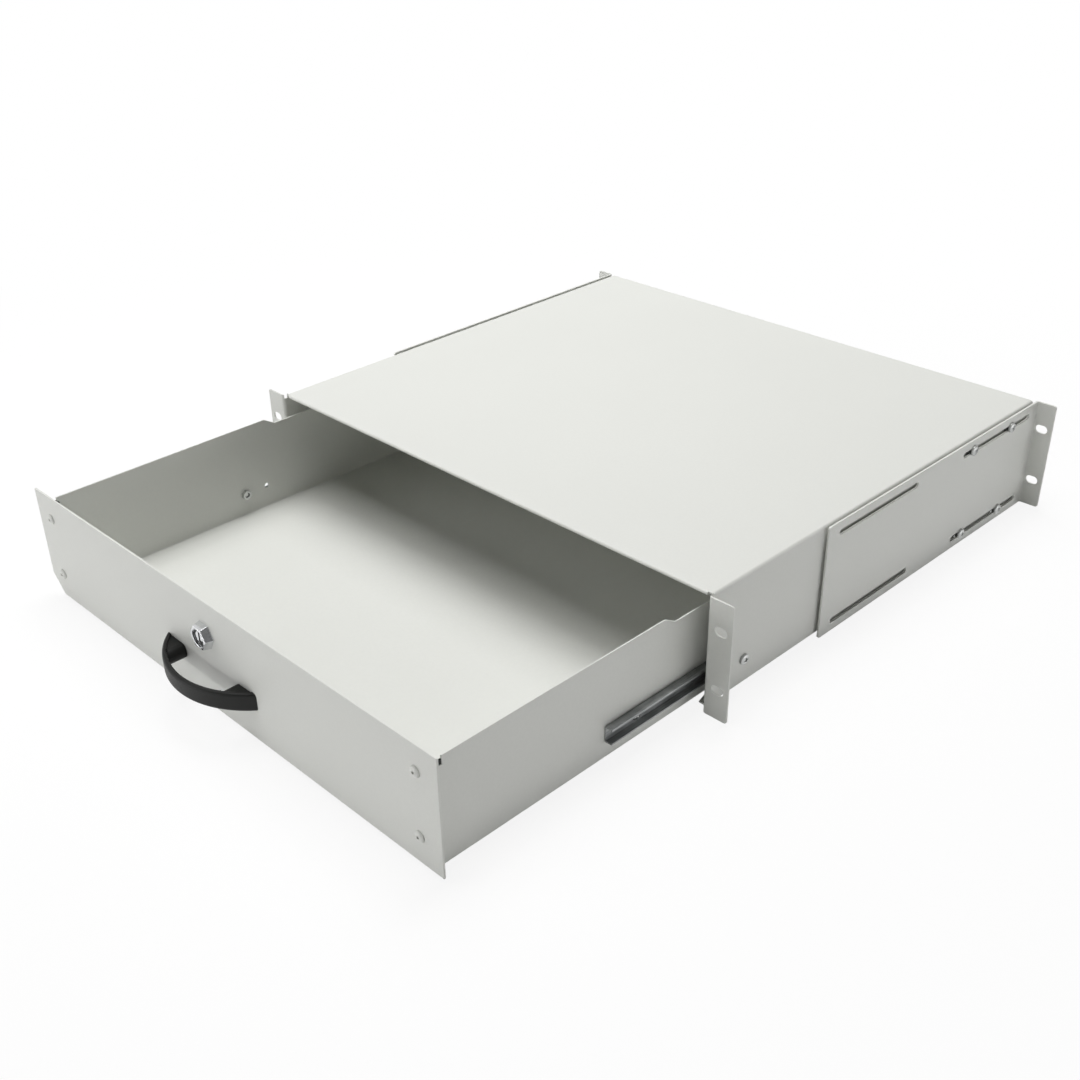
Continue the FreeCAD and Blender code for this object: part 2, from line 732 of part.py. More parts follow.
def drawer_tray():
    """Fold the tray: floor, side walls with a step and a front notch, back wall and front flanges."""
    body = new_body("drawer_tray")
    trough = new_sketch(body, "XZ_Plane", PANEL_BACK)
    wall_in, floor = f"({TRAY} - tray_sheet)", f"({TRAY_LOW} + tray_sheet)"
    polygon(trough, [
        (f"-{TRAY}", TRAY_LOW), (TRAY, TRAY_LOW), (TRAY, WALL_HIGH), (wall_in, WALL_HIGH),
        (wall_in, floor), (f"-{wall_in}", floor), (f"-{wall_in}", WALL_HIGH), (f"-{TRAY}", WALL_HIGH),
    ])
    shape = pad(body, trough, f"{TRAY_END} - {PANEL_BACK}").Shape
    outside = [(f"{side}{TRAY}", TRAY_LOW) for side in SIDES]
    shape = fillet(body, "tray_bend", straight_edges(shape, "Y", outside)).Shape
    inside = [(f"{side}{wall_in}", floor) for side in SIDES]
    fillet(body, "tray_bend - tray_sheet", straight_edges(shape, "Y", inside))

    ends = new_sketch(body, "XY_Plane", f"{floor} - tray_sheet / 2")
    rectangle(ends, f"-{wall_in}", f"{TRAY_END} - tray_sheet", wall_in, TRAY_END)
    for side in SIDES:
        flange_in = f"{side}({TRAY} - tray_flange)"
        rectangle(ends, flange_in, PANEL_BACK, f"{side}{wall_in}", f"{PANEL_BACK} + tray_sheet")
    pad(body, ends, f"{WALL_HIGH} - {floor} + tray_sheet / 2")

    step = new_sketch(body, "YZ_Plane")
    low, high = f"{WALL_HIGH} - step_drop", f"{WALL_HIGH} + step_drop"
    start = f"{PANEL} + step_start"
    polygon(step, [
        (start, WALL_HIGH), (f"{start} + step_run", low), (f"{TRAY_END} + tray_sheet", low),
        (f"{TRAY_END} + tray_sheet", high), (start, high),
    ])
    rectangle(step, f"{PANEL_BACK} - tray_sheet", f"{WALL_HIGH} - notch_drop",
              f"{PANEL_BACK} + notch_run", high)
    pocket(body, step)

    drilled = new_sketch(body, "YZ_Plane")
    for place in (DRAWER_SCREW, SPARE_HOLE, DRAWER_SCREW_END):
        circle(drilled, place, RAIL_Z, HOLE)
    pocket(body, drilled)
    riveted = new_sketch(body, "XZ_Plane", PANEL_BACK)
    rivet_circles(riveted)
    pocket(body, riveted, "2 * tray_sheet", 1)
    node(body, "drawer_tray")


def rivet_circles(sketch):
    """Draw the holes for the panel's rivets."""
    for side in SIDES:
        for row_z in RIVET_ROWS:
            circle(sketch, f"{side}{RIVET_X}", row_z, HOLE)


def front_panel():
    """Cut the front plate, with one lower corner taken off and all its holes."""
    body = new_body("front_panel")
    face = new_sketch(body, "XZ_Plane", PANEL)
    polygon(face, [
        (f"corner_cut_wide - {PANEL_HALF}", PANEL_LOW), (PANEL_HALF, PANEL_LOW), (PANEL_HALF, PANEL_HIGH),
        (f"-{PANEL_HALF}", PANEL_HIGH), (f"-{PANEL_HALF}", f"{PANEL_LOW} + corner_cut_tall"),
    ])
    rivet_circles(face)
    circle(face, LOCK_X, LOCK_Z, "barrel + screw_play")
    for side in SIDES:
        circle(face, f"{side}handle_screw_span / 2 - front_offset", HANDLE_Z, HOLE)
    shape = pad(body, face, "panel_sheet").Shape
    rim = [
        f"Edge{index}"
        for index, edge in enumerate(shape.Edges, 1)
        if isinstance(edge.Curve, Part.Line)
        and all(abs(corner.Y - number(PANEL)) < 0.01 for corner in edge.Vertexes)
    ]
    fillet(body, "edge_round", rim)
    node(body, "front_panel")


def handle():
    """Mould the bow handle: a band on an arc, with round-ended feet that the screws enter."""
    body = new_body("handle")
    plan = new_sketch(body, "XY_Plane", f"{HANDLE_Z} - handle_height / 2")
    centre_y = f"{PANEL} + handle_radius - handle_bow"
    inner_radius = "(handle_radius - handle_band)"
    big, small, foot = number("handle_radius"), number(inner_radius), number("handle_foot")
    centre = Vector(-number("front_offset"), number(centre_y), 0)
    dip = math.asin((centre.y - number(PANEL)) / big)
    reach = Vector(big * math.cos(dip), 0, 0)
    spread = math.acos(foot / small)
    middle = Vector(centre.x, number(PANEL), 0)
    foot_left = middle - Vector(foot, 0, 0)
    foot_right = middle + Vector(foot, 0, 0)
    arc_left = centre + Vector(-foot, -small * math.sin(spread), 0)
    arc_right = centre + Vector(foot, -small * math.sin(spread), 0)
    for shape in (
        Part.ArcOfCircle(Part.Circle(centre, AXES["Z"], big), math.pi + dip, 2 * math.pi - dip),
        Part.ArcOfCircle(Part.Circle(centre, AXES["Z"], small), math.pi + spread, 2 * math.pi - spread),
        Part.LineSegment(middle - reach, foot_left),
        Part.LineSegment(foot_left, arc_left),
        Part.LineSegment(arc_right, foot_right),
        Part.LineSegment(foot_right, middle + reach),
    ):
        plan.addGeometry(shape, False)
    outer, inner, toe_left, leg_left, leg_right, toe_right = range(6)
    for ends in (
        (toe_left, 1, outer, 1), (toe_left, 2, leg_left, 1), (leg_left, 2, inner, 1),
        (leg_right, 1, inner, 2), (leg_right, 2, toe_right, 1), (toe_right, 2, outer, 2),
        (inner, 3, outer, 3),
    ):
        plan.addConstraint(Sketcher.Constraint("Coincident", *ends))
    left_x, right_x = "-(front_offset + handle_foot)", "(handle_foot - front_offset)"
    pin(plan, outer, 3, "-front_offset", centre_y)
    hold(plan, "Radius", "handle_radius", outer)
    hold(plan, "Radius", inner_radius, inner)
    hold(plan, "DistanceY", PANEL, -1, 1, toe_left, 1)
    hold(plan, "DistanceY", PANEL, -1, 1, toe_right, 2)
    pin(plan, toe_left, 2, left_x, PANEL)
    pin(plan, toe_right, 1, right_x, PANEL)
    hold(plan, "DistanceX", left_x, -1, 1, leg_left, 2)
    hold(plan, "DistanceX", right_x, -1, 1, leg_right, 1)
    pad(body, plan, "handle_height")

    for side, toward in zip(SIDES, (1, -1)):
        relief = new_sketch(body, "XY_Plane", f"{HANDLE_Z} + {side}handle_foot_height / 2")
        circle(relief, "-front_offset", centre_y, f"2 * {inner_radius}")
        shape = pocket(body, relief, "handle_height / 2", toward).Shape
    low, high = f"{HANDLE_Z} - handle_foot_height / 2", f"{HANDLE_Z} + handle_foot_height / 2"
    foot_edges = straight_edges(shape, "Y", [(x, z) for x in (left_x, right_x) for z in (low, high)])
    shape = fillet(body, "handle_foot_round", foot_edges).Shape
    rim = number("handle_height") / 2
    for radius, curve in (("handle_round", "handle_radius"), ("handle_inner_round", inner_radius)):
        names = [
            f"Edge{index}"
            for index, edge in enumerate(shape.Edges, 1)
            if isinstance(edge.Curve, Part.Circle) and abs(edge.Curve.Radius - number(curve)) < 0.01
            and abs(abs(edge.Curve.Center.z - number(HANDLE_Z)) - rim) < 0.01
        ]
        shape = fillet(body, radius, names).Shape
    tapped = new_sketch(body, "XZ_Plane", PANEL)
    for side in SIDES:
        circle(tapped, f"{side}handle_screw_span / 2 - front_offset", HANDLE_Z, HOLE)
    pocket(body, tapped, "handle_screw_depth", -1)
    node(body, "handle")


def lock_barrel():
    """Turn the lock's threaded body and raise its tapered, faceted bezel."""
    body = new_body("lock_barrel")
    tube = new_sketch(body, "XZ_Plane", PANEL)
    circle(tube, LOCK_X, LOCK_Z, "barrel")
    pad(body, tube, f"{BARREL_END} - {PANEL}")
    bezel = new_sketch(body, "XZ_Plane", PANEL)
    hexagon(bezel, LOCK_X, LOCK_Z, "bezel", 0)
    pad(body, bezel, "bezel_depth", -1, "-bezel_taper")
    bore = new_sketch(body, "XZ_Plane", PANEL)
    circle(bore, LOCK_X, LOCK_Z, "plug + 2 * plug_play")
    pocket(body, bore)
    node(body, "lock_barrel")


def lock_plug():
    """Turn the plug with its keyway, its square tang and the hole for the cam's screw."""
    body = new_body("lock_plug")
    face = f"({PANEL} - bezel_depth + plug_inset)"
    core = new_sketch(body, "XZ_Plane", face)
    circle(core, LOCK_X, LOCK_Z, "plug")
    pad(body, core, f"{BARREL_END} - {face}")
    tang = new_sketch(body, "XZ_Plane", BARREL_END)
    rectangle(tang, f"{LOCK_X} - tang / 2", f"{LOCK_Z} - tang / 2",
              f"{LOCK_X} + tang / 2", f"{LOCK_Z} + tang / 2")
    pad(body, tang, "cam_gap + cam_sheet")
    keyway = new_sketch(body, "XZ_Plane", face)
    rectangle(keyway, f"{LOCK_X} - key_wide / 2", f"{LOCK_Z} - key_tall / 2",
              f"{LOCK_X} + key_wide / 2", f"{LOCK_Z} + key_tall / 2")
    pocket(body, keyway, "key_deep", 1)
    tapped = new_sketch(body, "XZ_Plane", f"{CAM_FRONT} + cam_sheet")
    circle(tapped, LOCK_X, LOCK_Z, HOLE)
    pocket(body, tapped, "handle_screw_depth", -1)
    node(body, "lock_plug")


def lock_cam():
    """Stamp the cam, drawn unlocked and pointing to the right."""
    body = new_body("lock_cam")
    plate = new_sketch(body, "XZ_Plane", CAM_FRONT)
    heel, tip = f"{LOCK_X} - cam_width / 2", f"{LOCK_X} + cam_length"
    low, high = f"{LOCK_Z} - cam_width / 2", f"{LOCK_Z} + cam_width / 2"
    rectangle(plate, heel, low, tip, high)
    hole = "(tang / 2 + tang_play)"
    rectangle(plate, f"{LOCK_X} - {hole}", f"{LOCK_Z} - {hole}", f"{LOCK_X} + {hole}", f"{LOCK_Z} + {hole}")
    shape = pad(body, plate, "cam_sheet").Shape
    corners = [(x, z) for x in (heel, tip) for z in (low, high)]
    fillet(body, "cam_round", straight_edges(shape, "Y", corners))
    node(body, "lock_cam")


def lock_nut():
    """Cut the flat nut that clamps the lock to the panel."""
    body = new_body("lock_nut")
    face = new_sketch(body, "XZ_Plane", PANEL_BACK)
    hexagon(face, LOCK_X, LOCK_Z, "lock_nut_wide * 2 / sqrt(3)")
    circle(face, LOCK_X, LOCK_Z, "barrel + screw_play")
    pad(body, face, "lock_nut_height")
    node(body, "lock_nut")


def hex_nut():
    """Cut a small hexagon nut that starts at the origin and runs along Y."""
    body = new_body("hex_nut")
    face = new_sketch(body, "XZ_Plane")
    hexagon(face, "0", "0", "nut_wide * 2 / sqrt(3)")
    circle(face, "0", "0", HOLE)
    pad(body, face, "nut_height")
    return body


def fasteners():
    """Set every screw, nut, rivet and washer in its holes."""
    bracket_spots = [
        spot
        for step in ("0", "bracket_screw_pitch")
        for up in SIDES
        for spot in ((f"{BRACKET_SCREW} - {step}", f"{up}{SLOT_Z}"),)
    ]
    bracket_grip = "bracket_sheet + spacer + sheet + press_nut_height + screw_tail"
    long_screw = screw("bracket_screw", "pan_head", "pan_height", bracket_grip)
    press_nut = ring("press_nut", "press_nut", HOLE, "press_nut_height")
    washer = ring("washer", "washer", HOLE, "spacer")
    for label, master, x in (
        ("bracket_screws", long_screw, BRACKET_OUT),
        ("bracket_spacers", washer, BRACKET_IN),
        ("bracket_nuts", press_nut, INNER),
    ):
        group(label, master, [spot for y, z in bracket_spots for spot in both_sides(x, y, z)])

    short_screw = screw("rail_screw", "pan_head", "pan_height", "rail_screw_length")
    group("cabinet_rail_screws", short_screw, both_sides(HALF, CABINET_SCREW, RAIL_Z))
    rail_grip = "sheet + rail_sheet"
    flat_rivet = rivet("flat_rivet", "flat_head", "flat_height", rail_grip, "flat_tail", "flat_tail_height")
    group("cabinet_rail_rivets", flat_rivet, both_sides(HALF, CABINET_RIVET, RAIL_Z))

    drawer_grip = "rail_sheet + tray_sheet + nut_height + screw_tail"
    low_screw = screw("low_screw", "low_head", "low_height", drawer_grip)
    small_nut = hex_nut()
    places = (DRAWER_SCREW, DRAWER_SCREW_END)
    heads = [spot for y in places for spot in both_sides(from_tray("rail_sheet"), y, RAIL_Z)]
    group("drawer_rail_screws", low_screw, heads)
    seats = [spot for y in places for spot in both_sides(f"{TRAY} - tray_sheet", y, RAIL_Z)]
    group("drawer_rail_nuts", small_nut, seats)

    dome_rivet = rivet("dome_rivet", "rivet_head", "rivet_height", "panel_sheet + tray_sheet",
                       "rivet_tail", "rivet_tail_height")
    group("panel_rivets", dome_rivet, [
        (f"{side}{RIVET_X}", PANEL, row_z, 0)
        for side in SIDES
        for row_z in RIVET_ROWS
    ])

    foot_grip = "panel_sheet + handle_screw_depth - screw_tail"
    foot_screw = screw("foot_screw", "pan_head", "pan_height", foot_grip)
    group("handle_screws", foot_screw, [
        (f"{side}handle_screw_span / 2 - front_offset", PANEL_BACK, HANDLE_Z, 180) for side in SIDES
    ])
    cam_screw = screw("cam_bolt", "pan_head", "pan_height", "handle_screw_depth - screw_tail")
    group("cam_screw", cam_screw, [(LOCK_X, f"{CAM_FRONT} + cam_sheet", LOCK_Z, 180)])


def export():
    """Test every object and solid, then write one file for each node."""
    doc.recompute()
    for thing in doc.Objects:
        if {"Invalid", "Error"} & set(thing.State):
            raise ValueError(f"{thing.Label} failed: {thing.State}")
    for thing in nodes:
        if thing.Shape.isNull() or not thing.Shape.isValid() or not thing.Shape.Solids:
            raise ValueError(f"{thing.Label} has no valid solid")
    os.makedirs("parts", exist_ok=True)
    for thing in nodes:
        thing.Shape.exportStep(f"parts/{thing.Label}.step")
        print(f"{thing.Label}: {len(thing.Shape.Solids)} solids, {thing.Shape.Volume:.0f} mm3")


housing_shell()
rear_panel()
lock_strike()
cabinet_rail()
drawer_rail()
ball_cage()
cage_balls()
rear_bracket()
drawer_tray()
front_panel()
handle()
lock_barrel()
lock_plug()
lock_cam()
lock_nut()
fasteners()
export()
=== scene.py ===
"""Looks of a lockable 19-inch rack drawer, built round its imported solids.

Frame: X to the right, Y from the rack's front to its rear, Z up, metres.
The origin is the middle of the front hole pattern, on the rear face of the front ears.
"""

import json
import logging
import math
from dataclasses import dataclass, field
from enum import Enum

import bmesh
import bpy
from mathutils import Matrix, Vector

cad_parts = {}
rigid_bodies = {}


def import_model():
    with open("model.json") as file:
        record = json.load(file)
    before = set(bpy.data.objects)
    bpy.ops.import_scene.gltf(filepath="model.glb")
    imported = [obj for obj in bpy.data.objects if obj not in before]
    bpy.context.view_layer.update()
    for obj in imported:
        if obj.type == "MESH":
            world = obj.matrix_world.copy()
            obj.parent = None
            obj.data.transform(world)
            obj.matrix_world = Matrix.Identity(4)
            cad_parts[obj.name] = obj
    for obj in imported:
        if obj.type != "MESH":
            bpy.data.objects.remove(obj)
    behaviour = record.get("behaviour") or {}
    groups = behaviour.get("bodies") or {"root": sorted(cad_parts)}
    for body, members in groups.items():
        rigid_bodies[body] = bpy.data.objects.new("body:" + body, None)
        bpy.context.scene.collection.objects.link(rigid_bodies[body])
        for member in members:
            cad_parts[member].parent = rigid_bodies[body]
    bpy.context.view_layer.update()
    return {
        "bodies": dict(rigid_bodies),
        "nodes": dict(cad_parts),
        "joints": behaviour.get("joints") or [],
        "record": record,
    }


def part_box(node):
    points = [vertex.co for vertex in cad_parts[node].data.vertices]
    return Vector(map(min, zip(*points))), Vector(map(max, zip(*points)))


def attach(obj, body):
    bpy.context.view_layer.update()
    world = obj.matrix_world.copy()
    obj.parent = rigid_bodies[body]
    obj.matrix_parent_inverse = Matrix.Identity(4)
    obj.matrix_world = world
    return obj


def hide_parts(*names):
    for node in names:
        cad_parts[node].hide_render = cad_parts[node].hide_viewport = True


MM = 0.001
WHITE = "ffffff"
# Facets round a turned piece and along the arc of its dome, and round and across a bead.
LATHE_STEPS, DOME_STEPS = 40, 8
BEAD_STEPS, BEAD_FACETS = 48, 10
# Edges flatter than this, in degrees, are shaded smooth.
SMOOTH_DEG, BEAD_SMOOTH_DEG = 32.0, 80.0
# Octaves of the noise, and the spans in which one noise and the product of two mostly lie.
CLOUD_DETAIL, GRAIN_DETAIL = 3.0, 2.0
NOISE_SPAN, PRODUCT_SPAN = (0.3, 0.7), (0.1, 0.45)
# The Mix node has sockets for each type of data, and these take and give its colours.
MIX_FIRST, MIX_SECOND, MIX_RESULT = 6, 7, 2
# Two places nearer than this share of a piece's radius are one place.
SAME_PLACE = 0.1
# Corners of a square that is two units wide.
SQUARE = ((-1, -1), (1, -1), (1, 1), (-1, 1))
log = logging.getLogger("rack_drawer")

Colour = tuple[float, float, float, float]
Point = tuple[float, float, float]
Outline = list[tuple[float, float]]


class Facing(Enum):
    """Directions that a fastener's head can face."""

    RIGHT = (1.0, 0.0, 0.0)
    LEFT = (-1.0, 0.0, 0.0)
    FRONT = (0.0, -1.0, 0.0)
    REAR = (0.0, 1.0, 0.0)


class Recess(Enum):
    """What is cut into the crown of a head."""

    CROSS = "cross"
    PIT = "pit"


Spot = tuple[Vector, Facing, float]


def linear(hex_code: str) -> Colour:
    """Turn an sRGB hex colour to the linear values that shaders take.

    Args:
        hex_code: Six hex digits, red first.

    Returns:
        Linear red, green and blue, with alpha 1.
    """
    channels = [int(hex_code[i:i + 2], 16) / 255 for i in (0, 2, 4)]
    red, green, blue = (c / 12.92 if c <= 0.04045 else ((c + 0.055) / 1.055) ** 2.4
                        for c in channels)
    return (red, green, blue, 1.0)


def add_node(tree: bpy.types.NodeTree, kind: str, values: dict | None = None,
             links: dict | None = None, **settings: object) -> bpy.types.Node:
    """Add one node with its settings, socket values and incoming links.

    Args:
        tree: The node tree that gets the node.
        kind: Blender's type name of the node.
        values: Input sockets and the constants set on them.
        links: Input sockets and the outputs joined to them.
        settings: Properties of the node itself.

    Returns:
        The new node.
    """
    node = tree.nodes.new(kind)
    for name, value in settings.items():
        setattr(node, name, value)
    for socket, value in (values or {}).items():
        node.inputs[socket].default_value = value
    for socket, source in (links or {}).items():
        tree.links.new(source, node.inputs[socket])
    return node


@dataclass(frozen=True)
class Finish:
    """A surface finish: two near tones broken up by noise, with a bump of real size.

    The grain is how far apart the marks on the surface are, and the cloud how broad its
    changes of tone are, both in millimetres. The stretch draws the grain out along Y.
    """

    name: str
    light: str
    dark: str
    rough_low: float
    rough_high: float
    metallic: float
    grain_mm: float
    cloud_mm: float
    relief_mm: float
    relief_strength: float
    stretch: float = 1.0
    ior: float | None = None
    gloss: float = 0.5

    def material(self) -> bpy.types.Material:
        """Return this finish's material, made on first use."""
        return bpy.data.materials.get(self.name) or self.build()

    def build(self) -> bpy.types.Material:
        """Build the node tree.

        Returns:
            The new material.
        """
        material = bpy.data.materials.new(self.name)
        material.use_nodes = True
        tree = material.node_tree
        tree.nodes.clear()
        place = add_node(tree, "ShaderNodeTexCoord")
        drawn = add_node(tree, "ShaderNodeMapping", {"Scale": (1.0, 1.0 / self.stretch, 1.0)},
                         {"Vector": place.outputs["Object"]})
        cloud = add_node(tree, "ShaderNodeTexNoise",
                         {"Scale": 1 / (self.cloud_mm * MM), "Detail": CLOUD_DETAIL},
                         {"Vector": place.outputs["Object"]})
        grain = add_node(tree, "ShaderNodeTexNoise",
                         {"Scale": 1 / (self.grain_mm * MM), "Detail": GRAIN_DETAIL},
                         {"Vector": drawn.outputs["Vector"]})
        both = add_node(tree, "ShaderNodeMath", {},
                        {0: cloud.outputs["Fac"], 1: grain.outputs["Fac"]}, operation="MULTIPLY")
        tone = add_node(tree, "ShaderNodeValToRGB", {}, {"Fac": both.outputs["Value"]})
        for stop, position, colour in zip(tone.color_ramp.elements, PRODUCT_SPAN,
                                          (self.dark, self.light)):
            stop.position, stop.color = position, linear(colour)
        sheen = add_node(tree, "ShaderNodeMapRange",
                         {"From Min": NOISE_SPAN[0], "From Max": NOISE_SPAN[1],
                          "To Min": self.rough_low, "To Max": self.rough_high},
                         {"Value": grain.outputs["Fac"]})
        bump = add_node(tree, "ShaderNodeBump",
                        {"Strength": self.relief_strength, "Distance": self.relief_mm * MM},
                        {"Height": grain.outputs["Fac"]})
        values = {"Metallic": self.metallic, "Specular IOR Level": self.gloss}
        if self.ior:
            values["IOR"] = self.ior
        shader = add_node(tree, "ShaderNodeBsdfPrincipled", values,
                          {"Base Color": tone.outputs["Color"],
                           "Roughness": sheen.outputs["Result"],
                           "Normal": bump.outputs["Normal"]})
        add_node(tree, "ShaderNodeOutputMaterial", {}, {"Surface": shader.outputs["BSDF"]})
        return material


# Polyester powder coat, sprayed and baked on bent steel: an even light grey with a satin sheen.
# Its orange peel is about 1 mm across, too fine to show, so it is drawn at 2.2 mm.
POWDER_COAT = Finish("grey_polyester_powder_coat", "e0e1dc", "ddded9",
                     rough_low=0.4, rough_high=0.48, metallic=0.0,
                     grain_mm=2.2, cloud_mm=160, relief_mm=0.03, relief_strength=0.1, ior=1.5)
# Zinc plated cold rolled strip: cool grey, with fine lines along the rolling direction.
ZINC_STRIP = Finish("zinc_plated_rolled_strip", "b0b2b2", "747676",
                    rough_low=0.48, rough_high=0.66, metallic=1.0,
                    grain_mm=0.9, cloud_mm=18, relief_mm=0.02, relief_strength=0.2, stretch=30)
# Bright zinc on turned and cold headed steel: small soft glints, greyer than the paint round it.
BRIGHT_ZINC = Finish("bright_zinc_headed_steel", "c4c5c3", "a0a2a1",
                     rough_low=0.34, rough_high=0.48, metallic=1.0,
                     grain_mm=0.7, cloud_mm=5, relief_mm=0.02, relief_strength=0.15)
# The same zinc painted lighter on nuts and in the slides, as a painted highlight, and
# shinier, so that it stands out on a shaded wall.
LIT_ZINC = Finish("bright_zinc_painted_highlight", "d6d7d5", "b4b6b5",
                     rough_low=0.16, rough_high=0.3, metallic=1.0,
                     grain_mm=0.7, cloud_mm=5, relief_mm=0.02, relief_strength=0.12)
# Chrome on a die cast lock, and as bright the slides' polished balls: mirrors with hardly any
# haze.
CHROME = Finish("polished_chrome_plate", "e0e1e2", "d2d4d6",
                rough_low=0.04, rough_high=0.08, metallic=1.0,
                grain_mm=1.6, cloud_mm=7, relief_mm=0.005, relief_strength=0.03)
# Steel of the wafers that show in the keyway, coloured dark as painted shade of the keyway's depth,
# so the slot reads as a hole.
KEYWAY_SHADE_STEEL = Finish("wafer_steel_painted_shade", "2a2a29", "161615",
                     rough_low=0.45, rough_high=0.6, metallic=1.0,
                     grain_mm=0.5, cloud_mm=3, relief_mm=0.02, relief_strength=0.2)
# Glass filled nylon, moulded and spark eroded: black, with a skin that scatters most gloss.
# The skin's grain is about 0.3 mm, too fine to show, so it is drawn at 0.8 mm.
BLACK_NYLON = Finish("black_moulded_nylon", "161715", "0f100e",
                     rough_low=0.42, rough_high=0.55, metallic=0.0,
                     grain_mm=0.8, cloud_mm=12, relief_mm=0.03, relief_strength=0.25,
                     ior=1.53, gloss=0.25)


@dataclass
class Softening:
    """Small round on the sheared edges of sheet metal, which catches a thin line of light.

    Points nearer than join_mm are joined first, and facets that lie within flat_deg of each
    other become one face. Edges sharper than corner_deg are then rounded.
    """

    width_mm: float = 0.25
    turns: int = 2
    corner_deg: float = 35.0
    join_mm: float = 0.001
    flat_deg: float = 0.5
    evenness: int = 80

    def apply(self, node: bpy.types.Object) -> None:
        """Add the modifiers that join the facets, round their sharp edges and even the shading.

        Args:
            node: The CAD node.
        """
        weld = node.modifiers.new("joined_facets", "WELD")
        weld.merge_threshold = self.join_mm * MM
        flat = node.modifiers.new("flat_faces", "DECIMATE")
        flat.decimate_type = "DISSOLVE"
        flat.angle_limit = math.radians(self.flat_deg)
        bevel = node.modifiers.new("edge_round", "BEVEL")
        bevel.offset_type = "ABSOLUTE"
        bevel.width = self.width_mm * MM
        bevel.segments = self.turns
        bevel.limit_method = "ANGLE"
        bevel.angle_limit = math.radians(self.corner_deg)
        bevel.use_clamp_overlap = False
        even = node.modifiers.new("even_shading", "WEIGHTED_NORMAL")
        even.weight = self.evenness


def dress(frame: dict, finish: Finish, nodes: list[str],
          softening: Softening | None = None) -> None:
    """Give CAD nodes a finish, and rounded edges where they are asked for.

    Args:
        finish: The finish for all the nodes.
        nodes: Names of the nodes.
        softening: The edge rounding, or None for edges as they are.
    """
    for name in nodes:
        node = frame["nodes"][name]
        for slot in node.material_slots:
            slot.material = finish.material()
        if softening:
            softening.apply(node)
        log.info("dressed %s in %s", name, finish.name)


def lathe(mesh: bmesh.types.BMesh, outline: Outline, steps: int = LATHE_STEPS,
          ring: bool = False) -> None:
    """Turn an outline of (radius, height) millimetres about the Z axis into a closed skin.

    Args:
        mesh: The mesh that gets the faces.
        outline: Points from one end of the axis to the other, or round the section of a ring.
        steps: Facets round the axis.
        ring: True where the outline goes round a section and its last point joins the first.
    """
    hoops = []
    for radius, height in outline:
        count = steps if radius else 1
        hoops.append([mesh.verts.new((radius * MM * math.cos(turn), radius * MM * math.sin(turn),
                                      height * MM))
                      for turn in (2 * math.pi * step / count for step in range(count))])
    for low, high in zip(hoops, hoops[1:] + hoops[:1] if ring else hoops[1:]):
        for step in range(steps):
            after = (step + 1) % steps
            corners = (low[step % len(low)], low[after % len(low)],
                       high[after % len(high)], high[step % len(high)])
            distinct = list(dict.fromkeys(corners))
            if len(distinct) > 2:
                mesh.faces.new(distinct)
    bmesh.ops.recalc_face_normals(mesh, faces=mesh.faces)


def prism(mesh: bmesh.types.BMesh, ends: list[list[Point]]) -> list[bmesh.types.BMFace]:
    """Close a skin round two outlines that have as many corners.

    Args:
        mesh: The mesh that gets the faces.
        ends: Corners of the low and the high end in millimetres, in the same order.

    Returns:
        The new faces.
    """
    low, high = ([mesh.verts.new([value * MM for value in corner]) for corner in end]
                 for end in ends)
    faces = [mesh.faces.new(reversed(low)), mesh.faces.new(high)]
    for index in range(len(low)):
        faces.append(mesh.faces.new((low[index - 1], low[index], high[index], high[index - 1])))
    return faces


def lay_along_y(mesh: bmesh.types.BMesh, seat: Vector) -> None:
    """Turn a mesh from the Z axis to the Y axis and move its origin to the seat."""
    bmesh.ops.rotate(mesh, verts=mesh.verts, matrix=Matrix.Rotation(-math.pi / 2, 3, "X"))
    bmesh.ops.translate(mesh, verts=mesh.verts, vec=seat)


def new_piece(name: str, mesh: bmesh.types.BMesh, finish: Finish,
              smooth_deg: float = SMOOTH_DEG) -> bpy.types.Object:
    """Turn a finished mesh into a named piece.

    Args:
        name: The piece's name.
        mesh: The mesh, which is used up.
        finish: The finish for all of it.
        smooth_deg: Edges flatter than this are shaded smooth.

    Returns:
        The new object, in the scene.
    """
    limit = math.radians(smooth_deg)
    for edge in mesh.edges:
        edge.smooth = len(edge.link_faces) == 2 and edge.calc_face_angle(math.pi) < limit
    for face in mesh.faces:
        face.smooth = True
    data = bpy.data.meshes.new(name)
    mesh.to_mesh(data)
    mesh.free()
    data.materials.append(finish.material())
    piece = bpy.data.objects.new(name, data)
    bpy.context.scene.collection.objects.link(piece)
    return piece


def settle(piece: bpy.types.Object, body: str, slot: str, *nodes: str) -> None:
    """Put a piece on its body and hide the CAD nodes that it stands for.

    Args:
        piece: The piece, in place.
        body: The CAD body that carries it.
        slot: The record's material slot; not used.
        nodes: CAD nodes that the piece replaces.
    """
    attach(piece, body)
    if nodes:
        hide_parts(*nodes)
    log.info("built %s on %s", piece.name, body)


def carve(target: bpy.types.Object, cutters: list[bmesh.types.BMesh]) -> bmesh.types.BMesh:
    """Cut shapes out of an object one after another.

    Args:
        target: The object to cut, which is used up.
        cutters: Closed meshes, which are used up.

    Returns:
        The carved mesh.
    """
    helpers = []
    for cutter in cutters:
        data = bpy.data.meshes.new("cutter")
        cutter.to_mesh(data)
        cutter.free()
        helper = bpy.data.objects.new("cutter", data)
        bpy.context.scene.collection.objects.link(helper)
        cut = target.modifiers.new("cut", "BOOLEAN")
        cut.object, cut.operation, cut.solver = helper, "DIFFERENCE", "EXACT"
        helpers.append(helper)
    graph = bpy.context.evaluated_depsgraph_get()
    carved = bmesh.new()
    carved.from_mesh(target.evaluated_get(graph).to_mesh())
    for spare in [target, *helpers]:
        data = spare.data
        bpy.data.objects.remove(spare)
        bpy.data.meshes.remove(data)
    return carved


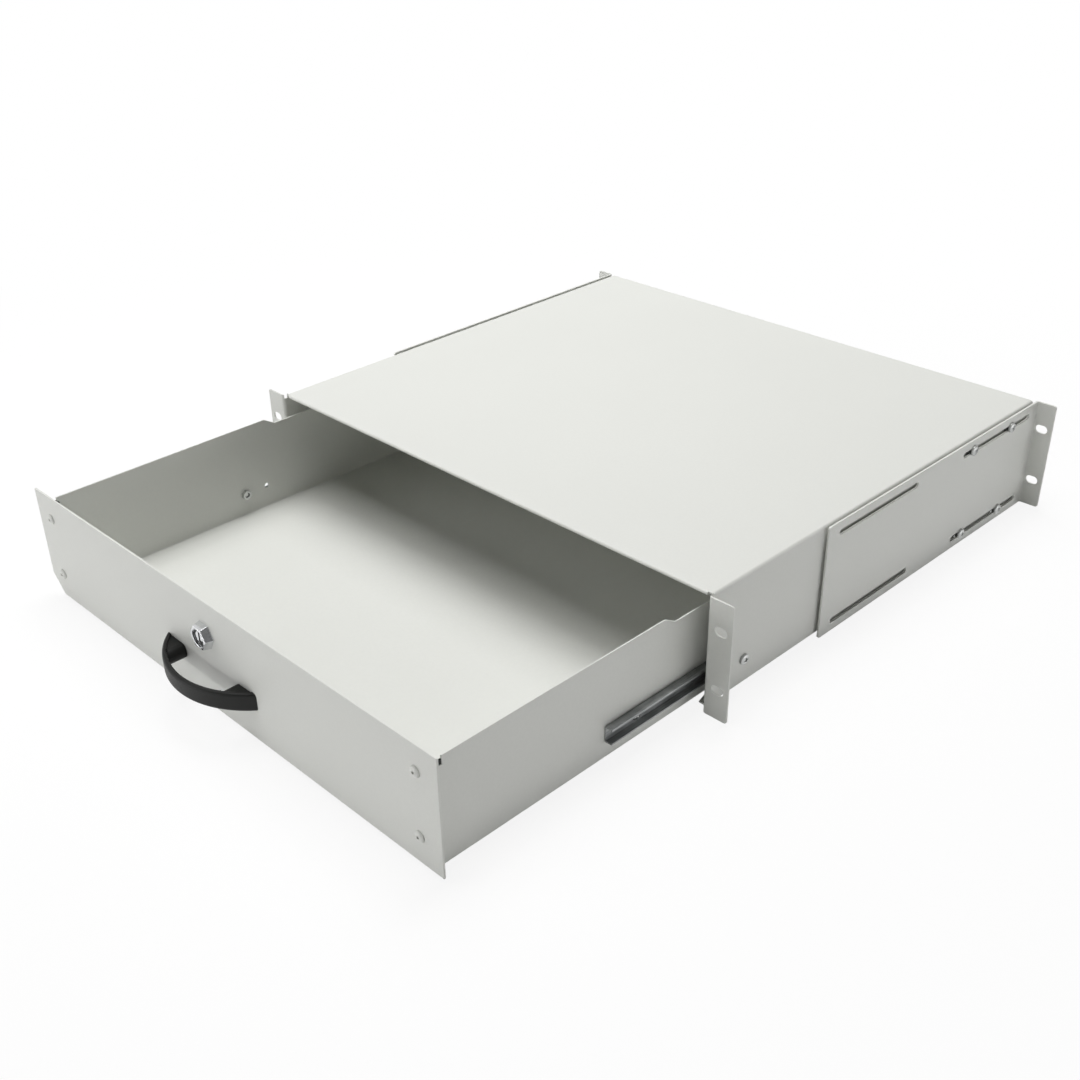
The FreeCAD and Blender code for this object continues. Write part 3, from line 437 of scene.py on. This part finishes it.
def thread(radius: float, start: float, end: float, pitch: float, depth: float) -> Outline:
    """Return the outline of a threaded length, one ridge to each pitch.

    Args:
        radius: Radius over the ridges.
        start: Height where it starts.
        end: Height where it ends.
        pitch: Distance between ridges.
        depth: How deep the valleys are.

    Returns:
        Points from start to end.
    """
    count = max(1, int(abs(end - start) / pitch))
    step = (end - start) / (2 * count)
    return [(radius - (depth if index % 2 else 0.0), start + index * step)
            for index in range(2 * count + 1)]


@dataclass(frozen=True)
class CrossRecess:
    """The cross in a screw's head, which narrows downwards, in millimetres.

    The span is a share of the head, the taper the share of the span that is left at the
    bottom, and the floor the share of the head's height that stays under the cut.
    """

    span: float = 0.55
    taper: float = 0.35
    wide_top: float = 1.15
    wide_low: float = 0.7
    over: float = 0.3
    floor: float = 0.3

    def bars(self, head: float, height: float) -> list[bmesh.types.BMesh]:
        """Make the two crossed bars that cut it, which stand a little over the crown.

        Args:
            head: Diameter of the head.
            height: Height of its crown.

        Returns:
            Two closed meshes.
        """
        length = head * self.span
        levels = ((length * self.taper, self.wide_low, height * self.floor),
                  (length, self.wide_top, height + self.over))
        bars = []
        for turn in (0.0, math.pi / 2):
            bar = bmesh.new()
            prism(bar, [[(x * long / 2, y * wide / 2, z) for x, y in SQUARE]
                        for long, wide, z in levels])
            bmesh.ops.rotate(bar, verts=bar.verts, matrix=Matrix.Rotation(turn, 3, "Z"))
            bars.append(bar)
        return bars


@dataclass(frozen=True)
class MandrelPit:
    """The pit over the broken mandrel of a blind rivet, in millimetres.

    Its floor lies below the head's seat, and its mouth and lip below the crown.
    """

    floor_depth: float = 0.6
    floor_radius: float = 0.85
    mouth_depth: float = 0.15
    mouth_radius: float = 0.95
    lip_depth: float = 0.02
    lip_radius: float = 1.25
    dome_radius: float = 1.3

    def cut(self, outline: Outline, height: float) -> Outline:
        """Put the pit in the place of a crown's middle.

        Args:
            outline: The fastener's outline, from the crown's middle.
            height: Height of its crown.

        Returns:
            The outline from the pit's floor.
        """
        pit = [(0.0, -self.floor_depth), (self.floor_radius, -self.floor_depth),
               (self.mouth_radius, height - self.mouth_depth),
               (self.lip_radius, height - self.lip_depth)]
        return pit + [(radius, z) for radius, z in outline if radius > self.dome_radius or z < 0]


@dataclass
class HeadedFastener:
    """A screw or rivet with its head above Z 0 and its shank below, in millimetres.

    The crown is the domed share of the head's height. With a tail it is a rivet whose far end
    is set, and without one its shank is threaded.
    """

    head: float
    height: float
    length: float
    shank: float = 4.0
    recess: Recess = Recess.CROSS
    cross: CrossRecess = CrossRecess()
    pit: MandrelPit = MandrelPit()
    tail: float = 0.0
    tail_height: float = 0.0
    crown: float = 0.55
    edge: float = 0.12
    pitch: float = 0.7
    thread_depth: float = 0.3
    chamfer: float = 0.4
    tip_inset: float = 0.5

    def outline(self) -> Outline:
        """Draw the fastener from the crown's middle to the tail's end.

        Returns:
            Its outline.
        """
        rim, core, end = self.head / 2, self.shank / 2, -self.length
        skirt = self.height * (1 - self.crown)
        dome = [(rim * math.sin(a), skirt + self.height * self.crown * math.cos(a))
                for a in (math.pi / 2 * step / DOME_STEPS for step in range(1, DOME_STEPS + 1))]
        head = [(0.0, self.height), *dome, (rim, self.edge), (rim - self.edge, 0.0)]
        if self.tail:
            flare, foot = self.tail / 2, end - self.tail_height
            return [*head, (core, 0.0), (core, end), (flare, end - self.chamfer),
                    (flare - self.chamfer, foot), (0.0, foot)]
        ridges = thread(core, 0.0, end + self.chamfer, self.pitch, self.thread_depth)
        return [*head, *ridges, (core - self.tip_inset, end), (0.0, end)]

    def mesh(self) -> bmesh.types.BMesh:
        """Build one fastener about the origin.

        Returns:
            Its mesh, with the recess cut.
        """
        body = bmesh.new()
        if self.recess is Recess.PIT:
            lathe(body, self.pit.cut(self.outline(), self.height))
            return body
        lathe(body, self.outline())
        blank = new_piece("blank", body, BRIGHT_ZINC)
        return carve(blank, self.cross.bars(self.head, self.height))

    def place(self, name: str, finish: Finish, spots: list[Spot]) -> bpy.types.Object:
        """Set copies at their spots as one piece.

        Args:
            name: The piece's name.
            finish: The finish for all copies.
            spots: Seat of each head, the way it faces, and its turn in degrees.

        Returns:
            The piece.
        """
        master = self.mesh()
        source = bpy.data.meshes.new("master")
        master.to_mesh(source)
        master.free()
        joined = bmesh.new()
        for seat, facing, turn in spots:
            first = len(joined.verts)
            joined.from_mesh(source)
            joined.verts.ensure_lookup_table()
            aim = Vector(facing.value).to_track_quat("Z", "Y").to_matrix().to_4x4()
            spin = Matrix.Rotation(math.radians(turn), 4, "Z")
            bmesh.ops.transform(joined, matrix=Matrix.Translation(seat) @ aim @ spin,
                                verts=joined.verts[first:])
        bpy.data.meshes.remove(source)
        return new_piece(name, joined, finish)


def corners_of(node: str, inset_mm: float, first: int, second: int) -> list[tuple[float, float]]:
    """Return the distinct places of round pieces of one node, read from its box.

    Args:
        node: The CAD node.
        inset_mm: Radius of one piece.
        first: Index of the first axis.
        second: Index of the second axis.

    Returns:
        Up to four pairs of coordinates along the two axes.
    """
    low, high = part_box(node)
    inset = inset_mm * MM
    runs = []
    for axis in (first, second):
        ends = [low[axis] + inset, high[axis] - inset]
        runs.append(ends if ends[1] - ends[0] > inset * SAME_PLACE else ends[:1])
    return [(a, b) for a in runs[0] for b in runs[1]]


def side_spots(node: str, head: float, height: float, turns: tuple[float, ...]) -> list[Spot]:
    """Return the spots of a node's fasteners, whose heads face out on both sides.

    Args:
        node: The CAD node.
        head: Diameter of a head in millimetres.
        height: Height of a head in millimetres.
        turns: How far the recesses of one side are turned, in degrees.

    Returns:
        The spots, right side first.
    """
    low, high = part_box(node)
    places = corners_of(node, head / 2, 1, 2)
    seats = ((high.x - height * MM, Facing.RIGHT), (low.x + height * MM, Facing.LEFT))
    return [(Vector((x, y, z)), facing, turn)
            for x, facing in seats for (y, z), turn in zip(places, turns)]


@dataclass
class Housing:
    """The bent housing that bolts to the rack, with the outer slide channels in it.

    Sizes are in millimetres, and turns in degrees.
    """

    soft: Softening = field(default_factory=Softening)
    pan_head: float = 8.0
    pan_height: float = 2.6
    bracket_grip: float = 6.0
    rail_grip: float = 3.0
    turns: tuple[float, ...] = (12.0, 61.0, 38.0, 80.0)

    def build(self, frame: dict) -> None:
        """Dress the sheet and channels, and set the screws.
        """
        dress(frame, POWDER_COAT, ["housing_shell", "rear_panel"], self.soft)
        dress(frame, ZINC_STRIP, ["cabinet_rail_left", "cabinet_rail_right", "lock_strike"])
        dress(frame, BRIGHT_ZINC, ["cabinet_rail_rivets", "bracket_spacers"])
        dress(frame, LIT_ZINC, ["bracket_nuts"])
        self.side_screws("bracket_screws", "bracket_pan_screws", self.bracket_grip)
        self.side_screws("cabinet_rail_screws", "rail_pan_screws", self.rail_grip)

    def side_screws(self, node: str, name: str, grip: float) -> None:
        """Set pan head screws on both sides, where the node has them.

        Args:
            node: The CAD node that they replace.
            name: The piece's name.
            grip: Shank length in millimetres.
        """
        spots = side_spots(node, self.pan_head, self.pan_height, self.turns)
        screw = HeadedFastener(self.pan_head, self.pan_height, grip)
        settle(screw.place(name, BRIGHT_ZINC, spots), "housing", "bright_steel", node)


@dataclass
class RearBrackets:
    """The slotted plates that set the mounting depth."""

    soft: Softening = field(default_factory=Softening)

    def build(self, frame: dict) -> None:
        """Dress both plates."""
        dress(frame, POWDER_COAT, ["rear_bracket_left", "rear_bracket_right"], self.soft)


@dataclass
class NotchShadePlugs:
    """Dark plugs at the front of the tray's walls, in millimetres: painted shade of the gap in
    each wall's notch.

    Each has a plug in the wall's notch, sunk below the wall's top, and a flap behind the plug
    that holds it from the inside.
    """

    notch_run: float = 9.0
    notch_drop: float = 6.0
    wall: float = 1.0
    play: float = 0.15
    sunk: float = 2.2
    inset: float = 0.2
    lip: float = 1.4
    flap_depth: float = 1.2
    flap_gap: float = 0.05
    edge_round: float = 0.2
    edge_turns: int = 2

    def build(self) -> None:
        """Clip them into the notches of both walls."""
        low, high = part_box("drawer_tray")
        start, top, face = low.y / MM, high.z / MM, high.x / MM
        plug = (start + self.play, start + self.notch_run - self.play,
                top - self.notch_drop + self.play, top - self.sunk)
        flap = (start + self.wall + self.lip, plug[1] + self.lip,
                plug[2] - self.lip, plug[3] - self.lip)
        layers = ((plug, face - self.inset, self.wall),
                  (flap, face - self.wall - self.flap_gap, self.flap_depth))
        joined = bmesh.new()
        for side in (1, -1):
            for (front, rear, bottom, crest), out, depth in layers:
                corners = ((front, bottom), (rear, bottom), (rear, crest), (front, crest))
                shell = prism(joined, [[(side * x, y, z) for y, z in corners]
                                       for x in (out - depth, out)])
                edges = list(dict.fromkeys(edge for part in shell for edge in part.edges))
                bmesh.ops.bevel(joined, geom=edges, offset=self.edge_round * MM,
                                segments=self.edge_turns, affect="EDGES", profile=0.5)
        bmesh.ops.recalc_face_normals(joined, faces=joined.faces)
        # Black plugs in both notches: painted shade of the gaps there.
        settle(new_piece("wall_notch_shade_plugs", joined, BLACK_NYLON), "drawer", "black_plastic")


@dataclass
class Drawer:
    """The tray with its front panel, rivets and inner slide channels.

    Sizes are in millimetres, and turns in degrees.
    """

    soft: Softening = field(default_factory=Softening)
    notch_shades: NotchShadePlugs = field(default_factory=NotchShadePlugs)
    rivet_head: float = 7.6
    rivet_height: float = 2.0
    rivet_grip: float = 2.5
    rivet_tail: float = 6.0
    rivet_tail_height: float = 1.5
    rivet_crown: float = 0.8
    low_head: float = 7.0
    low_height: float = 1.6
    low_grip: float = 4.0
    low_crown: float = 0.7
    low_turns: tuple[float, ...] = (30.0, 70.0, 110.0, 150.0)
    pan_head: float = 8.0
    pan_height: float = 2.6
    foot_grip: float = 9.9
    foot_turn: float = 20.0

    def build(self, frame: dict) -> None:
        """Dress the sheet and channels, and set the fasteners and the dark plugs that paint the
        notches' shade.
        """
        dress(frame, POWDER_COAT, ["drawer_tray", "front_panel"], self.soft)
        dress(frame, ZINC_STRIP, ["drawer_rail_left", "drawer_rail_right"])
        dress(frame, LIT_ZINC, ["drawer_rail_nuts"])
        self.rivets()
        self.rail_screws()
        self.foot_screws()
        self.notch_shades.build()

    def rivets(self) -> None:
        """Set the domed blind rivets with their sunk mandrels."""
        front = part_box("panel_rivets")[0].y + self.rivet_height * MM
        spots = [(Vector((x, front, z)), Facing.FRONT, 0.0)
                 for x, z in corners_of("panel_rivets", self.rivet_head / 2, 0, 2)]
        rivet = HeadedFastener(self.rivet_head, self.rivet_height, self.rivet_grip,
                               recess=Recess.PIT, tail=self.rivet_tail,
                               tail_height=self.rivet_tail_height, crown=self.rivet_crown)
        piece = rivet.place("panel_blind_rivets", POWDER_COAT, spots)
        settle(piece, "drawer", "grey_powder_coat", "panel_rivets")

    def rail_screws(self) -> None:
        """Set the low head screws that hold the inner channels."""
        spots = side_spots("drawer_rail_screws", self.low_head, self.low_height, self.low_turns)
        screw = HeadedFastener(self.low_head, self.low_height, self.low_grip,
                               crown=self.low_crown)
        piece = screw.place("rail_low_screws", LIT_ZINC, spots)
        settle(piece, "drawer", "bright_steel", "drawer_rail_screws")

    def foot_screws(self) -> None:
        """Set the screws that enter the handle's feet from behind the panel."""
        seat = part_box("handle_screws")[1].y - self.pan_height * MM
        spots = [(Vector((x, seat, z)), Facing.REAR, self.foot_turn)
                 for x, z in corners_of("handle_screws", self.pan_head / 2, 0, 2)]
        screw = HeadedFastener(self.pan_head, self.pan_height, self.foot_grip)
        piece = screw.place("handle_foot_screws", BRIGHT_ZINC, spots)
        settle(piece, "drawer", "bright_steel", "handle_screws")


@dataclass
class BowHandle:
    """The moulded bow handle."""

    soft: Softening = field(default_factory=lambda: Softening(width_mm=0.4, turns=3))

    def build(self, frame: dict) -> None:
        """Dress the bow."""
        dress(frame, BLACK_NYLON, ["handle"], self.soft)


@dataclass(frozen=True)
class Bead:
    """A ring with an oval section on a face that looks forward, in millimetres.

    Wide is half the section's width along the face and tall half its height off it. The middle
    of the section lies behind the face by the sunk share of tall.
    """

    radius: float
    wide: float
    tall: float
    sunk: float = 0.3

    def lay(self, name: str, finish: Finish, middle: Vector) -> bpy.types.Object:
        """Lay the ring on its face.

        Args:
            name: The piece's name.
            finish: The ring's finish.
            middle: The point in the face that it goes round.

        Returns:
            The ring, in place.
        """
        leans = [2 * math.pi * facet / BEAD_FACETS for facet in range(BEAD_FACETS)]
        section = [(self.radius + self.wide * math.cos(lean), self.tall * math.sin(lean))
                   for lean in leans]
        bead = bmesh.new()
        lathe(bead, section, BEAD_STEPS, ring=True)
        lay_along_y(bead, middle + Vector((0.0, self.tall * self.sunk * MM, 0.0)))
        return new_piece(name, bead, finish, BEAD_SMOOTH_DEG)


@dataclass
class CamLock:
    """The chrome cam lock, with its thread, rim and keyway, in millimetres.

    The wafer stands in the keyway behind its shelf, with a step that a key runs along. The
    step's low end is a share of half the keyway's height.
    """

    soft: Softening = field(default_factory=lambda: Softening(width_mm=0.2))
    rim: Bead = Bead(radius=6.65, wide=0.4, tall=0.35)
    # A black ring on the plug's face: painted shade of the plug's recess.
    plug_shade_ring: Bead = Bead(radius=5.0, wide=0.9, tall=0.3)
    barrel_radius: float = 8.0
    thread_pitch: float = 1.0
    thread_height: float = 0.3
    thread_depth: float = 0.27
    thread_root: float = 0.3
    thread_end: float = 0.4
    key_wide: float = 2.0
    key_tall: float = 8.0
    key_play: float = 0.05
    key_shelf: float = 1.2
    wafer_back: float = 0.6
    wafer_depth: float = 2.4
    step_left: float = 0.3
    step_low: float = 0.4
    step_depth: float = 0.7
    cam_head: float = 8.0
    cam_head_height: float = 2.6
    cam_grip: float = 8.4
    cam_turn: float = 15.0

    def build(self, frame: dict) -> None:
        """Dress the lock and add its fine parts.
        """
        dress(frame, CHROME, ["lock_barrel", "lock_plug"], self.soft)
        dress(frame, ZINC_STRIP, ["lock_nut", "lock_cam"], self.soft)
        bezel = self.on_axis(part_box("lock_barrel")[0].y)
        settle(self.rim.lay("lock_bezel_rim", CHROME, bezel), "drawer", "chrome")
        plug = self.on_axis(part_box("lock_plug")[0].y)
        # The black ring paints the shade in the plug's recess.
        settle(self.plug_shade_ring.lay("lock_plug_shade_ring", BLACK_NYLON, plug), "lock", "black_plastic")
        self.thread_sleeve()
        self.wafer()
        self.cam_bolt()

    def on_axis(self, y: float) -> Vector:
        """Return the point of the lock's axis at a place along Y, in metres."""
        low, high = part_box("lock_plug")
        return Vector(((low.x + high.x) / 2, y, (low.z + high.z) / 2))

    def thread_sleeve(self) -> None:
        """Cut the visible thread of the barrel behind its nut."""
        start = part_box("lock_nut")[1].y / MM
        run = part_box("lock_barrel")[1].y / MM - self.thread_end - start
        inner = self.barrel_radius - self.thread_root
        ridges = thread(self.barrel_radius + self.thread_height, 0.0, run, self.thread_pitch,
                        self.thread_depth)
        sleeve = bmesh.new()
        lathe(sleeve, [(inner, 0.0), *ridges, (inner, run)], ring=True)
        lay_along_y(sleeve, self.on_axis(start * MM))
        settle(new_piece("lock_barrel_thread", sleeve, CHROME), "drawer", "chrome")

    def wafer(self) -> None:
        """Stand the wafer in the keyway, dark with painted shade, with the step that a key runs
        along.
        """
        half, tall = self.key_wide / 2 - self.key_play, self.key_tall / 2 - self.key_play
        left, low = -self.step_left, -tall * self.step_low
        face = [(x * half, z * tall) for x, z in SQUARE]
        step = [(left, tall), (left, low), (half, low), (half, tall)]
        plate = bmesh.new()
        for shape, start, depth in ((face, self.key_shelf + self.wafer_back, self.wafer_depth),
                                    (step, self.key_shelf, self.step_depth)):
            prism(plate, [[(x, y, z) for x, z in shape] for y in (start + depth, start)])
        bmesh.ops.recalc_face_normals(plate, faces=plate.faces)
        bmesh.ops.translate(plate, verts=plate.verts,
                            vec=self.on_axis(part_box("lock_plug")[0].y))
        # The wafer's dark colour is painted shade of the keyway.
        settle(new_piece("lock_keyway_shaded_wafer", plate, KEYWAY_SHADE_STEEL), "lock", "bright_steel")

    def cam_bolt(self) -> None:
        """Set the screw that holds the cam."""
        seat = self.on_axis(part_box("cam_screw")[1].y - self.cam_head_height * MM)
        screw = HeadedFastener(self.cam_head, self.cam_head_height, self.cam_grip)
        piece = screw.place("cam_pan_screw", BRIGHT_ZINC, [(seat, Facing.REAR, self.cam_turn)])
        settle(piece, "lock", "bright_steel", "cam_screw")


@dataclass
class BallCages:
    """The cages and balls that roll between the slide channels."""

    def build(self, frame: dict) -> None:
        """Dress cages and balls."""
        dress(frame, ZINC_STRIP, ["ball_cage_left", "ball_cage_right"])
        dress(frame, CHROME, ["cage_balls_left", "cage_balls_right"])


@dataclass(frozen=True)
class SoftBox:
    """One soft studio lamp: its place, its aim and its size in metres, and its watts."""

    name: str
    place: Point
    aim: Point
    wide: float
    tall: float
    power: float

    def hang(self) -> None:
        """Add the lamp to the scene."""
        data = bpy.data.lights.new(self.name, "AREA")
        data.shape, data.size, data.size_y = "RECTANGLE", self.wide, self.tall
        data.energy = self.power
        lamp = bpy.data.objects.new(self.name, data)
        bpy.context.scene.collection.objects.link(lamp)
        lamp.location = self.place
        look = Vector(self.aim) - Vector(self.place)
        lamp.rotation_euler = look.to_track_quat("-Z", "Y").to_euler()


@dataclass
class Studio:
    """White floor, soft light and the camera.

    Angles are in degrees, lengths in metres, and the lens and sensor in millimetres. The floor's
    glow grows to full white from fade_start to fade_end. What metal mirrors of the room dims
    from white at ceiling_low to the ceiling's strength at ceiling_high, which are slopes of the
    mirrored ray, and pales again from wall_start to wall_end, where the ray points both sideways
    and up. The left_share makes the left wall start further out than the right one.
    """

    azimuth: float = 47.048
    elevation: float = 31.137
    roll: float = -1.678
    distance: float = 0.946916
    look_at: Point = (0.058784, -0.016912, -0.00005)
    lens: float = 45.268
    sensor: float = 36.0
    shift: tuple[float, float] = (0.02971, 0.02964)
    clip: tuple[float, float] = (0.01, 100.0)
    floor_half: float = 12.0
    floor_glow: float = 0.88
    floor_white: str = "f9f9f9"
    floor_bounce: str = "f2f2f2"
    fade_start: float = 0.45
    fade_end: float = 0.9
    ceiling: float = 0.2
    ceiling_low: float = 0.1
    ceiling_high: float = 0.34
    wall_start: float = 0.43
    wall_end: float = 0.5
    wall_white: float = 0.9
    left_share: float = 0.65
    lamps: tuple[SoftBox, ...] = (
        SoftBox("overhead_box", (-0.15, 0.02, 2.2), (-0.15, 0.02, 0.0), 0.6, 1.8, 18.0),
        SoftBox("overhead_left_box", (-0.55, 0.1, 2.1), (-0.55, 0.1, 0.0), 0.8, 1.8, 14.0),
        SoftBox("overhead_rear_box", (-0.65, 0.7, 2.0), (-0.65, 0.7, 0.0), 1.7, 1.6, 26.5),
        SoftBox("front_left_box", (-1.6, -2.0, 1.2), (0.0, -0.1, 0.0), 1.6, 1.4, 11.0),
        SoftBox("front_strip", (-0.9, -2.2, 0.16), (0.0, -0.1, 0.0), 1.6, 0.28, 8.6),
        SoftBox("front_right_strip", (1.0, -2.2, 0.16), (0.1, -0.1, 0.0), 1.0, 0.28, 3.2),
        SoftBox("right_strip", (2.1, 0.9, 0.16), (0.1, 0.2, 0.0), 1.6, 0.28, 8.2),
    )

    def build(self) -> None:
        """Set the view, floor, room, lamps and camera."""
        bpy.context.scene.view_settings.view_transform = "Standard"
        self.floor()
        self.world()
        for lamp in self.lamps:
            lamp.hang()
        self.camera()

    def seen(self, tree: bpy.types.NodeTree) -> bpy.types.NodeSocket:
        """Tell the rays of the camera and of reflections, which see the white backdrop.

        Args:
            tree: The node tree that asks.

        Returns:
            The output that is 1 for them and 0 for other rays.
        """
        path = add_node(tree, "ShaderNodeLightPath")
        mirror = add_node(tree, "ShaderNodeMath", {},
                          {0: path.outputs["Is Glossy Ray"],
                           1: path.outputs["Is Transmission Ray"]}, operation="MAXIMUM")
        either = add_node(tree, "ShaderNodeMath", {},
                          {0: path.outputs["Is Camera Ray"], 1: mirror.outputs[0]},
                          operation="MAXIMUM")
        return either.outputs[0]

    def floor(self) -> None:
        """Lay the pale floor under the rack ears."""
        sheet = bmesh.new()
        bmesh.ops.create_grid(sheet, x_segments=2, y_segments=2, size=self.floor_half)
        drop = Vector((0.0, 0.0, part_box("housing_shell")[0].z))
        bmesh.ops.translate(sheet, verts=sheet.verts, vec=drop)
        data = bpy.data.meshes.new("studio_floor")
        sheet.to_mesh(data)
        sheet.free()
        floor = bpy.data.objects.new("studio_floor", data)
        bpy.context.scene.collection.objects.link(floor)
        # White matt paper: it glows a little to the camera, so it stays white and keeps a soft
        # shadow, and it throws back less light than it seems to, so that the sides stay darker
        # than the top.
        material = bpy.data.materials.new("white_studio_paper")
        material.use_nodes = True
        tree = material.node_tree
        tree.nodes.clear()
        seen = self.seen(tree)
        tint = add_node(tree, "ShaderNodeMix",
                        {MIX_FIRST: linear(self.floor_bounce),
                         MIX_SECOND: linear(self.floor_white)},
                        {"Factor": seen}, data_type="RGBA")
        matt = add_node(tree, "ShaderNodeBsdfDiffuse", {}, {"Color": tint.outputs[MIX_RESULT]})
        glow = add_node(tree, "ShaderNodeEmission", {"Color": linear(WHITE), "Strength": 1.0})
        place = add_node(tree, "ShaderNodeTexCoord")
        away = add_node(tree, "ShaderNodeVectorMath", {}, {0: place.outputs["Object"]},
                        operation="LENGTH")
        fade = add_node(tree, "ShaderNodeMapRange",
                        {"From Min": self.fade_start, "From Max": self.fade_end,
                         "To Min": self.floor_glow, "To Max": 1.0},
                        {"Value": away.outputs["Value"]}, interpolation_type="SMOOTHSTEP")
        share = add_node(tree, "ShaderNodeMath", {}, {0: seen, 1: fade.outputs["Result"]},
                         operation="MULTIPLY")
        mix = add_node(tree, "ShaderNodeMixShader", {},
                       {"Fac": share.outputs[0], 1: matt.outputs[0], 2: glow.outputs[0]})
        add_node(tree, "ShaderNodeOutputMaterial", {}, {"Surface": mix.outputs[0]})
        data.materials.append(material)

    def world(self) -> None:
        """Stand the object in a white room, whose ceiling is dim and whose walls pale in metal."""
        world = bpy.data.worlds.new("white_room")
        bpy.context.scene.world = world
        world.use_nodes = True
        tree = world.node_tree
        tree.nodes.clear()
        path = add_node(tree, "ShaderNodeLightPath")
        place = add_node(tree, "ShaderNodeTexCoord")
        aim = add_node(tree, "ShaderNodeSeparateXYZ", {}, {"Vector": place.outputs["Generated"]})
        dim = add_node(tree, "ShaderNodeMapRange",
                       {"From Min": self.ceiling_low, "From Max": self.ceiling_high,
                        "To Min": 1.0, "To Max": self.ceiling},
                       {"Value": aim.outputs["Z"]}, interpolation_type="SMOOTHSTEP")
        left = add_node(tree, "ShaderNodeMath", {1: -self.left_share}, {0: aim.outputs["X"]},
                        operation="MULTIPLY")
        side = add_node(tree, "ShaderNodeMath", {},
                        {0: aim.outputs["X"], 1: left.outputs[0]}, operation="MAXIMUM")
        high = add_node(tree, "ShaderNodeMath", {},
                        {0: side.outputs[0], 1: aim.outputs["Z"]}, operation="MINIMUM")
        wall = add_node(tree, "ShaderNodeMapRange",
                        {"From Min": self.wall_start, "From Max": self.wall_end,
                         "To Min": 0.0, "To Max": self.wall_white},
                        {"Value": high.outputs[0]}, interpolation_type="SMOOTHSTEP")
        room = add_node(tree, "ShaderNodeMath", {},
                        {0: dim.outputs["Result"], 1: wall.outputs["Result"]},
                        operation="MAXIMUM")
        mirror = add_node(tree, "ShaderNodeMath", {}, {0: self.seen(tree), 1: room.outputs[0]},
                          operation="MULTIPLY")
        light = add_node(tree, "ShaderNodeMath", {},
                         {0: mirror.outputs[0], 1: path.outputs["Is Camera Ray"]},
                         operation="MAXIMUM")
        paint = add_node(tree, "ShaderNodeBackground", {"Color": linear(WHITE)},
                         {"Strength": light.outputs[0]})
        add_node(tree, "ShaderNodeOutputWorld", {}, {"Surface": paint.outputs[0]})

    def camera(self) -> None:
        """Stand the camera where the photograph was taken."""
        az, el, roll = (math.radians(a) for a in (self.azimuth, self.elevation, self.roll))
        back = Vector((math.sin(az) * math.cos(el), -math.cos(az) * math.cos(el), math.sin(el)))
        right = Vector((math.cos(az), math.sin(az), 0.0))
        up = back.cross(right)
        side = right * math.cos(roll) + up * math.sin(roll)
        rise = up * math.cos(roll) - right * math.sin(roll)
        data = bpy.data.cameras.new("camera")
        data.sensor_width, data.lens = self.sensor, self.lens
        data.shift_x, data.shift_y = self.shift
        data.clip_start, data.clip_end = self.clip
        camera = bpy.data.objects.new("camera", data)
        bpy.context.scene.collection.objects.link(camera)
        turn = Matrix((side, rise, back)).transposed().to_4x4()
        camera.matrix_world = Matrix.Translation(Vector(self.look_at) + back * self.distance) @ turn
        bpy.context.scene.camera = camera


def main() -> None:
    """Load the solids, dress every sub-assembly and light it."""
    logging.basicConfig(level=logging.INFO, format="%(message)s")
    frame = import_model()
    for part in (Housing(), RearBrackets(), Drawer(), BowHandle(), CamLock(), BallCages()):
        part.build(frame)
    Studio().build()


if __name__ == "__main__":
    main()
